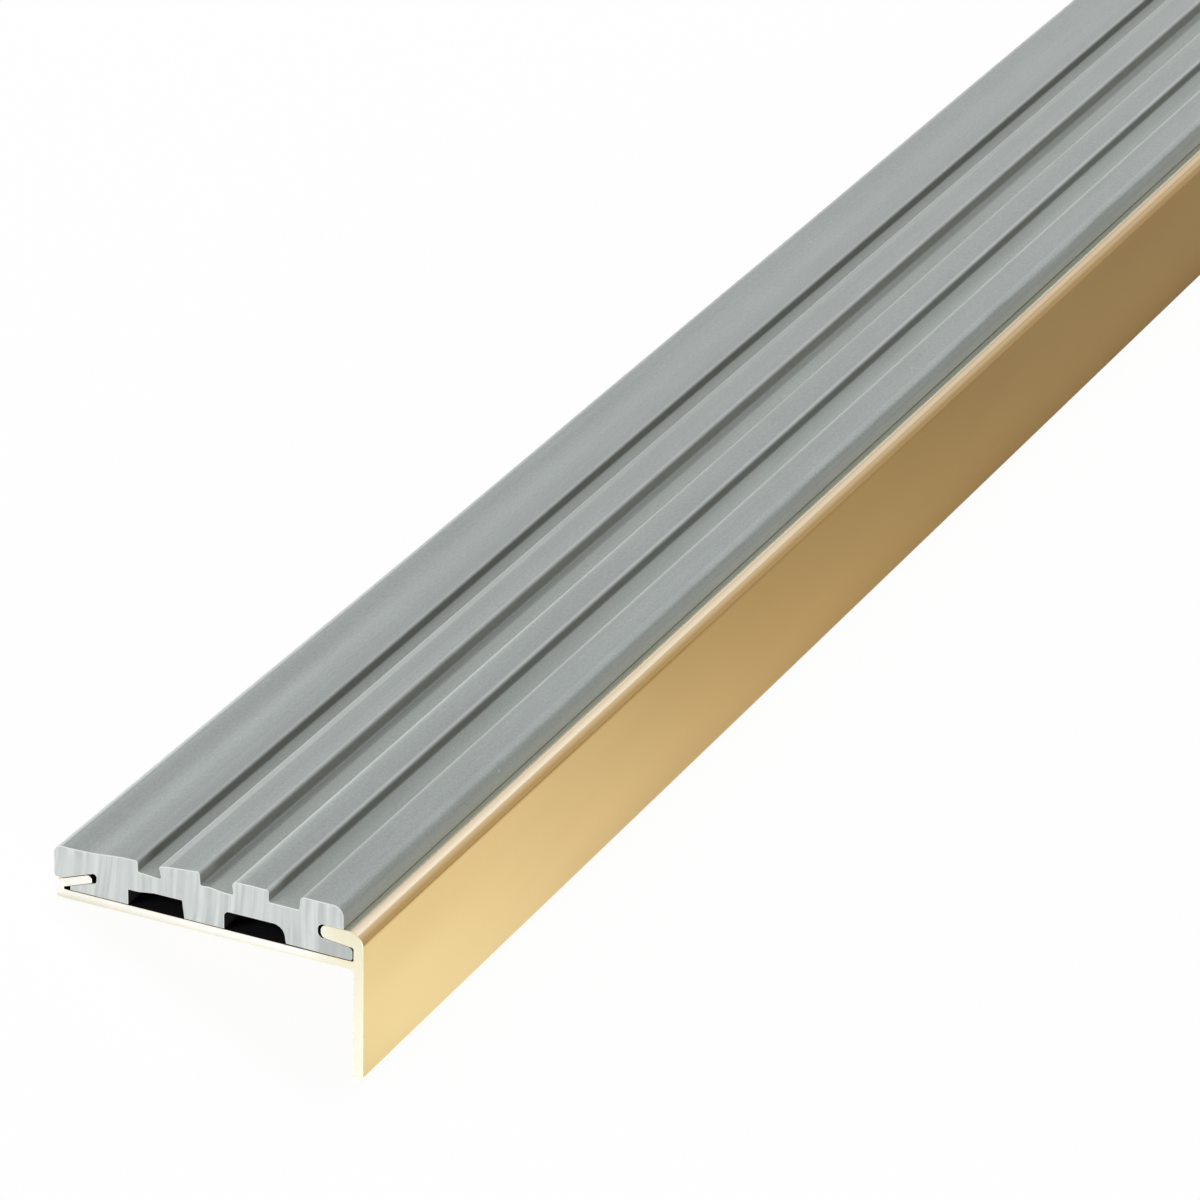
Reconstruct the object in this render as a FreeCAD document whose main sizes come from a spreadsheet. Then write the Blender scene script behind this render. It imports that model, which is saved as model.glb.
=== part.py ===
import FreeCAD, Part
import math
import os
import re
import Sketcher
from FreeCAD import Placement, Rotation, Vector

# Stair nosing: an aluminium extrusion that wraps the edge of a step, with a vinyl tread insert
# snapped into it. Both sections are drawn as installed, with Y running back from the outer face of
# the leg and Z running up from the foot of the leg, and the length runs along X. Unfastened, the
# piece lies tilted, on the foot of the leg and the rear lower edge of the plate.

NODE_FOLDER = "parts"
CORNER_TOLERANCE = 0.001

# Driving dimensions in millimetres and degrees: name, value, meaning.
SIZES = [
    ("length", 900, "length of the extrusion and of the insert"),
    ("width", 50, "outer face of the leg to the rear face of the plate"),
    ("leg_depth", 17.8, "foot of the leg to the underside of the plate"),
    ("leg_thickness", 1.6, "wall of the leg and of the nose"),
    ("plate_thickness", 1.4, "base plate that is screwed to the tread"),
    ("nose_height", 6.2, "underside of the plate to the top of the lip"),
    ("nose_radius", 2.0, "outside rounding of the nose"),
    ("lip_reach", 5.25, "rearward reach of the lip from the inner face of the nose"),
    ("lip_root_thickness", 2.6, "lip where it leaves the nose"),
    ("lip_tip_thickness", 2.1, "lip at its tip"),
    ("lip_tip_radius", 0.95, "rounding of both edges of the lip's tip"),
    ("pocket_radius", 0.25, "rounding in the roots of the lip pocket and the barb notch"),
    ("rear_wall_thickness", 1.2, "wall behind the barb notch"),
    ("rear_wall_height", 2.75, "underside of the plate to the shoulder of the barb"),
    ("shoulder_radius", 0.6, "rounding of the barb's shoulder"),
    ("barb_reach", 5.85, "forward reach of the barb from the rear face"),
    ("barb_angle", 20, "rise of the barb above the plate"),
    ("barb_thickness", 1.3, "barb, square to its faces"),
    ("barb_tip_radius", 0.65, "rounding of the barb's upper tip edge"),
    ("barb_heel_radius", 0.2, "rounding of the barb's lower tip edge"),
    ("bead_height", 4.7, "foot of the leg to the upper end of the drip bead"),
    ("bead_ramp", 0.5, "height over which the bead steps out"),
    ("bead_proud", 0.2, "bead beyond the inner face of the leg"),
    ("foot_radius", 0.8, "outer rounding of the leg's foot"),
    ("rest_radius", 0.3, "rounding of the two edges that the loose piece rests on"),
    ("inside_radius", 0.6, "fillet between the plate and the leg"),
    ("hole_diameter", 4.5, "screw hole"),
    ("countersink_diameter", 6.1, "mouth of the screw hole on top of the plate"),
    ("hole_margin", 47.5, "end of the extrusion to the nearest screw hole"),
    ("holes_per_row", 4, "screw holes in each of the two staggered rows"),
    ("snap_clearance", 0.1, "between the insert's slots and the lip or barb they grip"),
    ("wing_gap", 0.2, "insert's front wing to the inner face of the nose"),
    ("lip_gap", 0.5, "tip of the lip to the end of its slot"),
    ("barb_gap", 0.75, "tip of the barb to the end of its slot"),
    ("rear_overhang", 0.4, "insert beyond the rear face of the extrusion"),
    ("rear_flap_height", 1.75, "top of the plate to the lower edge of the rear flap"),
    ("rear_wing_reach", 3.65, "rear wing beyond the tip of the barb"),
    ("foot_relief", 0.18, "hollow under the front foot, at the screw channel"),
    ("foot_relief_width", 7.0, "width over which the front foot is hollow"),
    ("wing_top_radius", 0.8, "upper rounding of the front wing"),
    ("wing_bottom_radius", 0.4, "lower rounding of the front wing"),
    ("lip_slot_radius", 0.95, "rounding of the end of the lip slot"),
    ("barb_slot_radius", 0.5, "rounding of the end of the barb slot"),
    ("rear_wing_radius", 0.15, "rounding of the rear wing's tip"),
    ("front_rib_setback", 3.2, "outer face of the leg to the front rib"),
    ("front_rib_width", 6.8, "front rib at its top"),
    ("front_groove_width", 5.55, "groove behind the front rib, at its mouth"),
    ("second_rib_width", 5.8, "second rib at its top"),
    ("middle_groove_width", 5.0, "groove behind the second rib, at its mouth"),
    ("third_rib_width", 6.6, "third rib at its top"),
    ("rear_groove_width", 3.65, "groove behind the third rib, at its mouth"),
    ("front_rib_top", 8.4, "front rib above the plate"),
    ("front_floor", 6.2, "floor of the front groove above the plate"),
    ("second_rib_top", 8.1, "front edge of the second rib above the plate"),
    ("second_rib_rear", 8.0, "rear edge of the second rib above the plate"),
    ("middle_floor", 5.92, "front of the middle groove's floor above the plate"),
    ("middle_floor_crest", 6.25, "ridge in the middle groove's floor above the plate"),
    ("middle_floor_rear", 6.1, "rear of the middle groove's floor above the plate"),
    ("middle_floor_level", 1.5, "level strip at the front of the middle groove's floor"),
    ("middle_floor_gutter", 1.0, "strip behind the ridge of the middle groove's floor"),
    ("third_rib_top", 8.3, "front edge of the third rib above the plate"),
    ("third_rib_rear", 7.65, "rear edge of the third rib above the plate"),
    ("rear_floor", 5.55, "front of the rear groove's floor above the plate"),
    ("rear_floor_rear", 5.68, "rear of the rear groove's floor above the plate"),
    ("rear_rib_top", 7.6, "front edge of the rear rib above the plate"),
    ("rear_rib_turn", 7.28, "line above the plate where the rear rib's crown turns hollow"),
    ("rear_rib_rear", 7.03, "rear edge of the rear rib above the plate"),
    ("rear_rib_crown_width", 5.7, "front edge of the rear rib to the end of its crown"),
    ("second_rib_crown_radius", 42, "crown of the second rib's top"),
    ("rear_rib_crown_radius", 34, "crown of the rear rib's top"),
    ("rear_rib_hollow_radius", 63, "hollow of the rear rib's top"),
    ("front_groove_draft", 0.25, "lean of the front groove's front wall, opening upward"),
    ("middle_groove_undercut", 0.3, "lean of the middle groove's front wall, closing upward"),
    ("middle_groove_slant", 0.55, "lean of the middle groove's rear wall, opening upward"),
    ("rear_groove_undercut", 0.4, "lean of the rear groove's front wall, closing upward"),
    ("front_rib_radius", 1.6, "front rounding of the front rib"),
    ("rib_rear_radius", 0.4, "rounding of the rear edges of the ribs"),
    ("rib_front_radius", 0.15, "rounding of the front edges of the ribs behind a groove"),
    ("groove_radius", 0.2, "rounding in the corners of the groove floors"),
    ("rear_top_radius", 1.3, "upper rounding of the insert's rear face"),
    ("rear_flap_radius", 0.6, "lower rounding of the insert's rear face"),
    ("front_channel_setback", 12.5, "outer face of the leg to the front screw channel"),
    ("front_channel_width", 10.0, "front screw channel at the plate"),
    ("middle_foot_width", 6.5, "foot of the insert between the two screw channels"),
    ("rear_channel_width", 9.2, "rear screw channel at the plate"),
    ("channel_height", 2.95, "both screw channels above the plate"),
    ("rear_channel_ledge_height", 2.55, "rear ledge of the rear screw channel above the plate"),
    ("rear_channel_ledge_width", 1.7, "level rear ledge in the ceiling of the rear screw channel"),
    ("rear_channel_ramp_width", 2.5, "ramp from the ledge up to the full channel height"),
    ("channel_lean", 0.35, "lean of the channels' front walls, closing upward"),
    ("channel_front_radius", 1.9, "upper front rounding of the front screw channel"),
    ("channel_rear_radius", 0.8, "upper rear rounding of the front screw channel"),
]

# Heights and depths that several corners share.
PLATE_TOP = "leg_depth + plate_thickness"
LIP_TOP = "leg_depth + nose_height"
LIP_TIP = "leg_thickness + lip_reach"
LIP_SLOT_END = f"{LIP_TIP} + lip_gap"
WING_TIP = "leg_thickness + wing_gap"
NOTCH = "width - rear_wall_thickness"
BARB_TIP = "width - barb_reach"
BARB_SLOT_END = f"{BARB_TIP} - barb_gap"
REAR_WING_TIP = f"{BARB_TIP} + rear_wing_reach"
REAR_FACE = "width + rear_overhang"
REAR_FLAP = f"{PLATE_TOP} + rear_flap_height"
FRONT_GROOVE = "front_rib_setback + front_rib_width"
SECOND_RIB = f"{FRONT_GROOVE} + front_groove_width"
MIDDLE_GROOVE = f"{SECOND_RIB} + second_rib_width"
THIRD_RIB = f"{MIDDLE_GROOVE} + middle_groove_width"
REAR_GROOVE = f"{THIRD_RIB} + third_rib_width"
REAR_RIB = f"{REAR_GROOVE} + rear_groove_width"
MIDDLE_FLOOR_REAR = f"{THIRD_RIB} - middle_groove_slant"
FRONT_CHANNEL_REAR = "front_channel_setback + front_channel_width"
REAR_CHANNEL = f"{FRONT_CHANNEL_REAR} + middle_foot_width"
REAR_CHANNEL_REAR = f"{REAR_CHANNEL} + rear_channel_width"
REAR_CHANNEL_LEDGE = f"{REAR_CHANNEL_REAR} - rear_channel_ledge_width"


def lip_underside(across):
    """Height of the lip's sloping underside at a distance from the leg's outer face."""
    slope = "(lip_root_thickness - lip_tip_thickness) / lip_reach"
    return f"{LIP_TOP} - lip_root_thickness + ({across} - leg_thickness) * {slope}"


def barb_top(across):
    """Height of the barb's upper face at a distance from the leg's outer face."""
    return f"leg_depth + rear_wall_height + (width - ({across})) * tan(barb_angle)"


def barb_underside(across):
    """Height of the barb's lower face at a distance from the leg's outer face."""
    return f"{barb_top(across)} - barb_thickness / cos(barb_angle)"


# The barb slot's upper wall meets the flat lower edge of the rear flap here.
SLOT_WALL_LIFT = "snap_clearance / cos(barb_angle)"
BARB_SLOT_MOUTH = (
    f"width - ({REAR_FLAP} - leg_depth - rear_wall_height - {SLOT_WALL_LIFT}) / tan(barb_angle)"
)

EXTRUSION_CORNERS = {
    "foot_outside": ("0", "0"),
    "nose": ("0", LIP_TOP),
    "lip_tip_top": (LIP_TIP, LIP_TOP),
    "lip_tip_bottom": (LIP_TIP, lip_underside(LIP_TIP)),
    "lip_root": ("leg_thickness", lip_underside("leg_thickness")),
    "pocket_floor": ("leg_thickness", PLATE_TOP),
    "notch_floor": (NOTCH, PLATE_TOP),
    "notch_top": (NOTCH, barb_underside(NOTCH)),
    "barb_heel": (BARB_TIP, barb_underside(BARB_TIP)),
    "barb_tip": (BARB_TIP, barb_top(BARB_TIP)),
    "barb_shoulder": ("width", "leg_depth + rear_wall_height"),
    "plate_rear": ("width", "leg_depth"),
    "inside": ("leg_thickness", "leg_depth"),
    "bead_top": ("leg_thickness", "bead_height"),
    "bead_crest": ("leg_thickness + bead_proud", "bead_height - bead_ramp"),
    "foot_inside": ("leg_thickness", "0"),
}

INSERT_CORNERS = {
    "wing_bottom": (WING_TIP, PLATE_TOP),
    "wing_top": (WING_TIP, f"{lip_underside(WING_TIP)} - snap_clearance"),
    "lip_slot_bottom": (LIP_SLOT_END, f"{lip_underside(LIP_SLOT_END)} - snap_clearance"),
    "lip_slot_top": (LIP_SLOT_END, LIP_TOP),
    "front_rib_foot": ("front_rib_setback", LIP_TOP),
    "front_rib_front": ("front_rib_setback", f"{PLATE_TOP} + front_rib_top"),
    "front_rib_rear": (FRONT_GROOVE, f"{PLATE_TOP} + front_rib_top"),
    "front_floor_front": (f"{FRONT_GROOVE} + front_groove_draft", f"{PLATE_TOP} + front_floor"),
    "front_floor_rear": (SECOND_RIB, f"{PLATE_TOP} + front_floor"),
    "second_rib_front": (SECOND_RIB, f"{PLATE_TOP} + second_rib_top"),
    "second_rib_rear": (MIDDLE_GROOVE, f"{PLATE_TOP} + second_rib_rear"),
    "middle_floor_front": (f"{MIDDLE_GROOVE} - middle_groove_undercut", f"{PLATE_TOP} + middle_floor"),
    "middle_floor_bend": (
        f"{MIDDLE_GROOVE} - middle_groove_undercut + middle_floor_level",
        f"{PLATE_TOP} + middle_floor",
    ),
    "middle_floor_crest": (
        f"{MIDDLE_FLOOR_REAR} - middle_floor_gutter",
        f"{PLATE_TOP} + middle_floor_crest",
    ),
    "middle_floor_rear": (MIDDLE_FLOOR_REAR, f"{PLATE_TOP} + middle_floor_rear"),
    "third_rib_front": (THIRD_RIB, f"{PLATE_TOP} + third_rib_top"),
    "third_rib_rear": (REAR_GROOVE, f"{PLATE_TOP} + third_rib_rear"),
    "rear_floor_front": (f"{REAR_GROOVE} - rear_groove_undercut", f"{PLATE_TOP} + rear_floor"),
    "rear_floor_rear": (REAR_RIB, f"{PLATE_TOP} + rear_floor_rear"),
    "rear_rib_front": (REAR_RIB, f"{PLATE_TOP} + rear_rib_top"),
    "rear_rib_turn": (f"{REAR_RIB} + rear_rib_crown_width", f"{PLATE_TOP} + rear_rib_turn"),
    "rear_rib_rear": (REAR_FACE, f"{PLATE_TOP} + rear_rib_rear"),
    "rear_flap": (REAR_FACE, REAR_FLAP),
    "barb_slot_mouth": (BARB_SLOT_MOUTH, REAR_FLAP),
    "barb_slot_top": (BARB_SLOT_END, f"{barb_top(BARB_SLOT_END)} + {SLOT_WALL_LIFT}"),
    "barb_slot_bottom": (BARB_SLOT_END, f"{barb_underside(BARB_SLOT_END)} - {SLOT_WALL_LIFT}"),
    "rear_wing_top": (REAR_WING_TIP, f"{barb_underside(REAR_WING_TIP)} - {SLOT_WALL_LIFT}"),
    "rear_wing_bottom": (REAR_WING_TIP, PLATE_TOP),
    "rear_channel_rear": (REAR_CHANNEL_REAR, PLATE_TOP),
    "rear_channel_rear_top": (REAR_CHANNEL_REAR, f"{PLATE_TOP} + rear_channel_ledge_height"),
    "rear_channel_ledge": (REAR_CHANNEL_LEDGE, f"{PLATE_TOP} + rear_channel_ledge_height"),
    "rear_channel_ramp": (
        f"{REAR_CHANNEL_LEDGE} - rear_channel_ramp_width",
        f"{PLATE_TOP} + channel_height",
    ),
    "rear_channel_front_top": (f"{REAR_CHANNEL} + channel_lean", f"{PLATE_TOP} + channel_height"),
    "rear_channel_front": (REAR_CHANNEL, PLATE_TOP),
    "front_channel_rear": (FRONT_CHANNEL_REAR, PLATE_TOP),
    "front_channel_rear_top": (FRONT_CHANNEL_REAR, f"{PLATE_TOP} + channel_height"),
    "front_channel_front_top": (
        "front_channel_setback + channel_lean",
        f"{PLATE_TOP} + channel_height",
    ),
    "front_channel_front": ("front_channel_setback", f"{PLATE_TOP} + foot_relief"),
    "front_foot": ("front_channel_setback - foot_relief_width", PLATE_TOP),
}

# Sides of the insert that are arcs: the corner each one starts from, its radius, and whether it is
# hollow or crowned.
INSERT_ARCS = {
    "second_rib_front": ("second_rib_crown_radius", "crowned"),
    "rear_rib_front": ("rear_rib_crown_radius", "crowned"),
    "rear_rib_turn": ("rear_rib_hollow_radius", "hollow"),
}


def make_sheet(document):
    """Writes the driving dimensions into the document's spreadsheet."""
    sheet = document.addObject("Spreadsheet::Sheet", "Sizes")
    for row, (alias, value, meaning) in enumerate(SIZES, start=1):
        sheet.set(f"A{row}", meaning)
        sheet.set(f"B{row}", str(value))
        sheet.setAlias(f"B{row}", alias)
    document.recompute()
    return sheet


def formula(text):
    """Turns a sum of size names into an expression that reads the sheet."""
    names = "|".join(alias for alias, value, meaning in SIZES)
    return re.sub(rf"\b({names})\b", r"Sizes.\1", text)


def value_of(sheet, text):
    """Number that a sum of size names gives now."""
    return float(sheet.evalExpression(formula(f"({text}) * 1.0")))


def origin_feature(body, role):
    """One of the body's own origin planes or axes."""
    return next(item for item in body.Origin.OriginFeatures if item.Role == role)


def arc_side(start, end, radius, shape):
    """Arc between two corners, with its centre on the side that makes it hollow or crowned.

    The section is walked clockwise and arcs run anticlockwise, so a crowned arc is turned round.
    """
    chord = end - start
    square = Vector(-chord.y, chord.x, 0).normalize()
    offset = math.sqrt(radius ** 2 - (chord.Length / 2) ** 2)
    centre = (start + end) / 2 + square * (offset if shape == "hollow" else -offset)
    circle = Part.Circle(centre, Vector(0, 0, 1), radius)
    first, last = (start, end) if shape == "hollow" else (end, start)
    return Part.ArcOfCircle(circle, circle.parameter(first), circle.parameter(last))


def bind(sketch, constraint, name, text):
    """Adds a dimension and ties it to a sum of size names."""
    index = sketch.addConstraint(constraint)
    sketch.renameConstraint(index, name)
    sketch.setExpression(f"Constraints.{name}", formula(text))


def place_corner(sketch, side, head, kind, axis, text, number, name):
    """Holds the start of a side at a sheet distance from the origin, or on the axis itself."""
    if text == "0":
        sketch.addConstraint(Sketcher.Constraint("PointOnObject", side, head, axis))
    else:
        bind(sketch, Sketcher.Constraint(kind, -1, 1, side, head, number), name, text)


def draw_section(sheet, body, name, corners, arcs):
    """Sketches a closed section through named corners, each placed by two sheet formulas.

    A straight side whose two corners share a formula is held level or upright instead.
    """
    sketch = body.newObject("Sketcher::SketchObject", name)
    sketch.AttachmentSupport = (origin_feature(body, "YZ_Plane"), [""])
    sketch.MapMode = "FlatFace"
    names = list(corners)
    points = [Vector(value_of(sheet, across), value_of(sheet, up), 0) for across, up in corners.values()]
    heads = []
    for corner, start, end in zip(names, points, points[1:] + points[:1]):
        radius, shape = arcs.get(corner, (None, "straight"))
        if shape == "straight":
            sketch.addGeometry(Part.LineSegment(start, end), False)
        else:
            sketch.addGeometry(arc_side(start, end, value_of(sheet, radius), shape), False)
        heads.append(2 if shape == "crowned" else 1)
    count = len(points)
    for side, head in enumerate(heads):
        after = (side + 1) % count
        sketch.addConstraint(Sketcher.Constraint("Coincident", side, 3 - head, after, heads[after]))
    for side, corner in enumerate(names):
        head = heads[side]
        across, up = corners[corner]
        straight_before = side > 0 and names[side - 1] not in arcs
        before_across, before_up = corners[names[side - 1]] if straight_before else (None, None)
        if across == before_across:
            sketch.addConstraint(Sketcher.Constraint("Vertical", side - 1))
        else:
            place_corner(sketch, side, head, "DistanceX", -2, across, points[side].x, f"{corner}_across")
        if up == before_up:
            sketch.addConstraint(Sketcher.Constraint("Horizontal", side - 1))
        else:
            place_corner(sketch, side, head, "DistanceY", -1, up, points[side].y, f"{corner}_up")
        if corner in arcs:
            radius = arcs[corner][0]
            constraint = Sketcher.Constraint("Radius", side, value_of(sheet, radius))
            bind(sketch, constraint, f"{corner}_arc", radius)
    return sketch


def extrude(body, sketch, name):
    """Pads the section to the full length, half to each side of its plane."""
    pad = body.newObject("PartDesign::Pad", name)
    pad.Profile = sketch
    pad.SideType = "Symmetric"
    pad.setExpression("Length", formula("length"))
    body.Document.recompute()
    return pad


def edge_along_length(sheet, shape, across, up):
    """Name of the long edge that stands at a corner of the section."""
    place = (value_of(sheet, across), value_of(sheet, up))
    for index, edge in enumerate(shape.Edges, start=1):
        ends = [vertex.Point for vertex in edge.Vertexes]
        miss = max(abs(end.y - place[0]) + abs(end.z - place[1]) for end in ends)
        if miss < CORNER_TOLERANCE:
            return f"Edge{index}"
    raise ValueError(f"no long edge at {place}")


def round_corners(sheet, body, corners, chosen, radius):
    """Rounds the long edges at the chosen corners of the section with one radius."""
    before = body.Tip
    edges = [edge_along_length(sheet, before.Shape, *corners[corner]) for corner in chosen]
    fillet = body.newObject("PartDesign::Fillet", f"{chosen[0]}_rounding")
    fillet.Base = (before, edges)
    fillet.setExpression("Radius", formula(radius))
    body.Document.recompute()


def drill_row(body, name, across, first):
    """Drills one row of screw holes through the plate and repeats it along the length."""
    step = "(length - 2 * hole_margin) / (2 * holes_per_row - 1)"
    sketch = body.newObject("Sketcher::SketchObject", f"{name}_place")
    sketch.AttachmentSupport = (origin_feature(body, "XY_Plane"), [""])
    sketch.MapMode = "FlatFace"
    sketch.setExpression("AttachmentOffset.Base.z", formula(PLATE_TOP))
    sketch.addGeometry(Part.Circle(Vector(-1, 1, 0), Vector(0, 0, 1), 1), False)
    along = f"length / 2 - hole_margin - {first} * {step}"
    bind(sketch, Sketcher.Constraint("DistanceX", 0, 3, -1, 1, 1), "along", along)
    bind(sketch, Sketcher.Constraint("DistanceY", -1, 1, 0, 3, 1), "back", across)
    bind(sketch, Sketcher.Constraint("Diameter", 0, 2), "size", "hole_diameter")
    body.Document.recompute()

    hole = body.newObject("PartDesign::Hole", name)
    hole.Profile = sketch
    body.Document.recompute()
    hole.Threaded = False
    hole.DepthType = "ThroughAll"
    hole.HoleCutType = "Countersink"
    hole.setExpression("Diameter", formula("hole_diameter"))
    hole.setExpression("HoleCutDiameter", formula("countersink_diameter"))
    body.Document.recompute()

    row = body.newObject("PartDesign::LinearPattern", f"{name}_row")
    row.Originals = [hole]
    row.Direction = (sketch, ["H_Axis"])
    row.setExpression("Length", formula(f"2 * (holes_per_row - 1) * {step}"))
    row.setExpression("Occurrences", formula("holes_per_row"))
    body.Tip = row
    body.Document.recompute()


def build_extrusion(document, sheet):
    """Aluminium section: screwed plate, leg over the riser, lip and barb that hold the insert."""
    body = document.addObject("PartDesign::Body", "nosing_extrusion")
    corners = EXTRUSION_CORNERS
    section = draw_section(sheet, body, "extrusion_section", corners, {})
    extrude(body, section, "extrusion_length")
    round_corners(sheet, body, corners, ["nose"], "nose_radius")
    round_corners(sheet, body, corners, ["lip_tip_top", "lip_tip_bottom"],
                  "min(lip_tip_radius; 0.45 * lip_tip_thickness)")
    round_corners(sheet, body, corners, ["lip_root", "pocket_floor"], "pocket_radius")
    round_corners(sheet, body, corners, ["barb_tip"], "min(barb_tip_radius; 0.6 * barb_thickness)")
    round_corners(sheet, body, corners, ["barb_heel"], "barb_heel_radius")
    round_corners(sheet, body, corners, ["barb_shoulder"], "shoulder_radius")
    round_corners(sheet, body, corners, ["foot_outside"], "min(foot_radius; 0.6 * leg_thickness)")
    round_corners(sheet, body, corners, ["foot_inside", "plate_rear"], "rest_radius")
    round_corners(sheet, body, corners, ["inside"], "inside_radius")
    drill_row(body, "front_screw_hole", "front_channel_setback + front_channel_width / 2", 0)
    drill_row(body, "rear_screw_hole", f"{REAR_CHANNEL} + rear_channel_width / 2", 1)
    return body


def build_insert(document, sheet):
    """Vinyl section: ribbed tread with slots over the lip and the barb and two screw channels."""
    body = document.addObject("PartDesign::Body", "tread_insert")
    corners = INSERT_CORNERS
    section = draw_section(sheet, body, "insert_section", corners, INSERT_ARCS)
    extrude(body, section, "insert_length")
    round_corners(sheet, body, corners, ["wing_top"], "wing_top_radius")
    round_corners(sheet, body, corners, ["wing_bottom"], "wing_bottom_radius")
    round_corners(sheet, body, corners, ["lip_slot_top", "lip_slot_bottom"],
                  "min(lip_slot_radius; 0.45 * lip_tip_thickness)")
    round_corners(sheet, body, corners, ["front_rib_front"], "front_rib_radius")
    round_corners(sheet, body, corners, ["front_rib_rear", "second_rib_rear", "third_rib_rear"],
                  "rib_rear_radius")
    round_corners(sheet, body, corners, ["second_rib_front", "third_rib_front", "rear_rib_front"],
                  "rib_front_radius")
    round_corners(sheet, body, corners, ["front_floor_front", "front_floor_rear", "middle_floor_front",
                                         "middle_floor_rear", "rear_floor_front", "rear_floor_rear"],
                  "groove_radius")
    round_corners(sheet, body, corners, ["rear_rib_rear"], "rear_top_radius")
    round_corners(sheet, body, corners, ["rear_flap"], "rear_flap_radius")
    round_corners(sheet, body, corners, ["barb_slot_top", "barb_slot_bottom"], "barb_slot_radius")
    round_corners(sheet, body, corners, ["rear_wing_top", "rear_wing_bottom"], "rear_wing_radius")
    round_corners(sheet, body, corners, ["front_channel_rear_top"], "channel_rear_radius")
    round_corners(sheet, body, corners, ["front_channel_front_top"], "channel_front_radius")
    return body


def lay_down(bodies):
    """Tilts the assembly onto its two resting edges, on the floor and centred over the origin."""
    tilt = formula("atan(leg_depth / (width - leg_thickness))")
    for body in bodies:
        body.Placement = Placement(Vector(), Rotation(Vector(-1, 0, 0), 1))
        body.setExpression("Placement.Rotation.Angle", tilt)
    bodies[0].Document.recompute()
    box = FreeCAD.BoundBox()
    for body in bodies:
        box.add(body.Shape.BoundBox)
    for body in bodies:
        body.Placement.Base = Vector(-box.Center.x, -box.Center.y, -box.ZMin)
    bodies[0].Document.recompute()


def check(document, bodies):
    """Stops the run if any feature failed or any solid is missing or broken."""
    for item in document.Objects:
        if "Invalid" in item.State or "Error" in item.State:
            raise RuntimeError(f"{item.Name} failed: {item.State}")
        if item.TypeId == "Sketcher::SketchObject" and not item.FullyConstrained:
            raise RuntimeError(f"{item.Name} isn't fully constrained")
    for body in bodies:
        if body.Shape.isNull() or not body.Shape.isValid() or len(body.Shape.Solids) != 1:
            raise RuntimeError(f"{body.Label} isn't one valid solid")


def main():
    """Builds both pieces and writes one file for each."""
    document = FreeCAD.newDocument("stair_nosing")
    sheet = make_sheet(document)
    bodies = [build_extrusion(document, sheet), build_insert(document, sheet)]
    lay_down(bodies)
    check(document, bodies)
    os.makedirs(NODE_FOLDER, exist_ok=True)
    for body in bodies:
        body.Shape.exportStep(os.path.join(NODE_FOLDER, f"{body.Label}.step"))
        box = body.Shape.BoundBox
        print(f"{body.Label}: volume {body.Shape.Volume:.1f} mm3, box X {box.XMin:.3f} {box.XMax:.3f}, "
              f"Y {box.YMin:.3f} {box.YMax:.3f}, Z {box.ZMin:.3f} {box.ZMax:.3f}")


main()
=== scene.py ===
"""Stair nosing: an anodised aluminium extrusion with a ribbed vinyl tread insert snapped into it.

Both pieces are one section carried along the length. Each section is drawn as installed, in
millimetres: across runs back from the outer face of the leg, up runs from the foot of the leg. The
finished meshes are laid down into the frame's metres, tilted as the loose nosing lies on a floor.
"""
import logging
import math
from collections.abc import Callable, Iterable, Mapping
from dataclasses import dataclass
from enum import Enum
from functools import partial, reduce
from typing import Any, Union

import bpy
from mathutils import Matrix, Vector


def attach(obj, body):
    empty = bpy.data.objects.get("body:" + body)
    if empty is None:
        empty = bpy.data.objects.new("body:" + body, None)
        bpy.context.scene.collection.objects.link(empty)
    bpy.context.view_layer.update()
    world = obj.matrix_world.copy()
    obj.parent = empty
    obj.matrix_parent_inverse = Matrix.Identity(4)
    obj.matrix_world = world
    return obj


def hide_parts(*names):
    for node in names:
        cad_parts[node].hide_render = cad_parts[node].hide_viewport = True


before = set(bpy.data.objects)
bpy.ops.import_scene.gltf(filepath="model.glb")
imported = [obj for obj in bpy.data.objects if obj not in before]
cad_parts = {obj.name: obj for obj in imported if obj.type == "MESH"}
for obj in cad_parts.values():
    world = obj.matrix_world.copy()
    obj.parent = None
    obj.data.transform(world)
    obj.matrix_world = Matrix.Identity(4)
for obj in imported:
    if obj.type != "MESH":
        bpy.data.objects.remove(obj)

LOG = logging.getLogger("stair_nosing")
MM = 0.001
BODY = "root"

Number = Union[float, int, "Value"]
Span = tuple[float, float]
Triple = tuple[float, float, float]
Stops = tuple[tuple[float, Triple], ...]
WHITE = (1.0, 1.0, 1.0, 1.0)


# ---------------------------------------------------------------- node wiring


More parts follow.
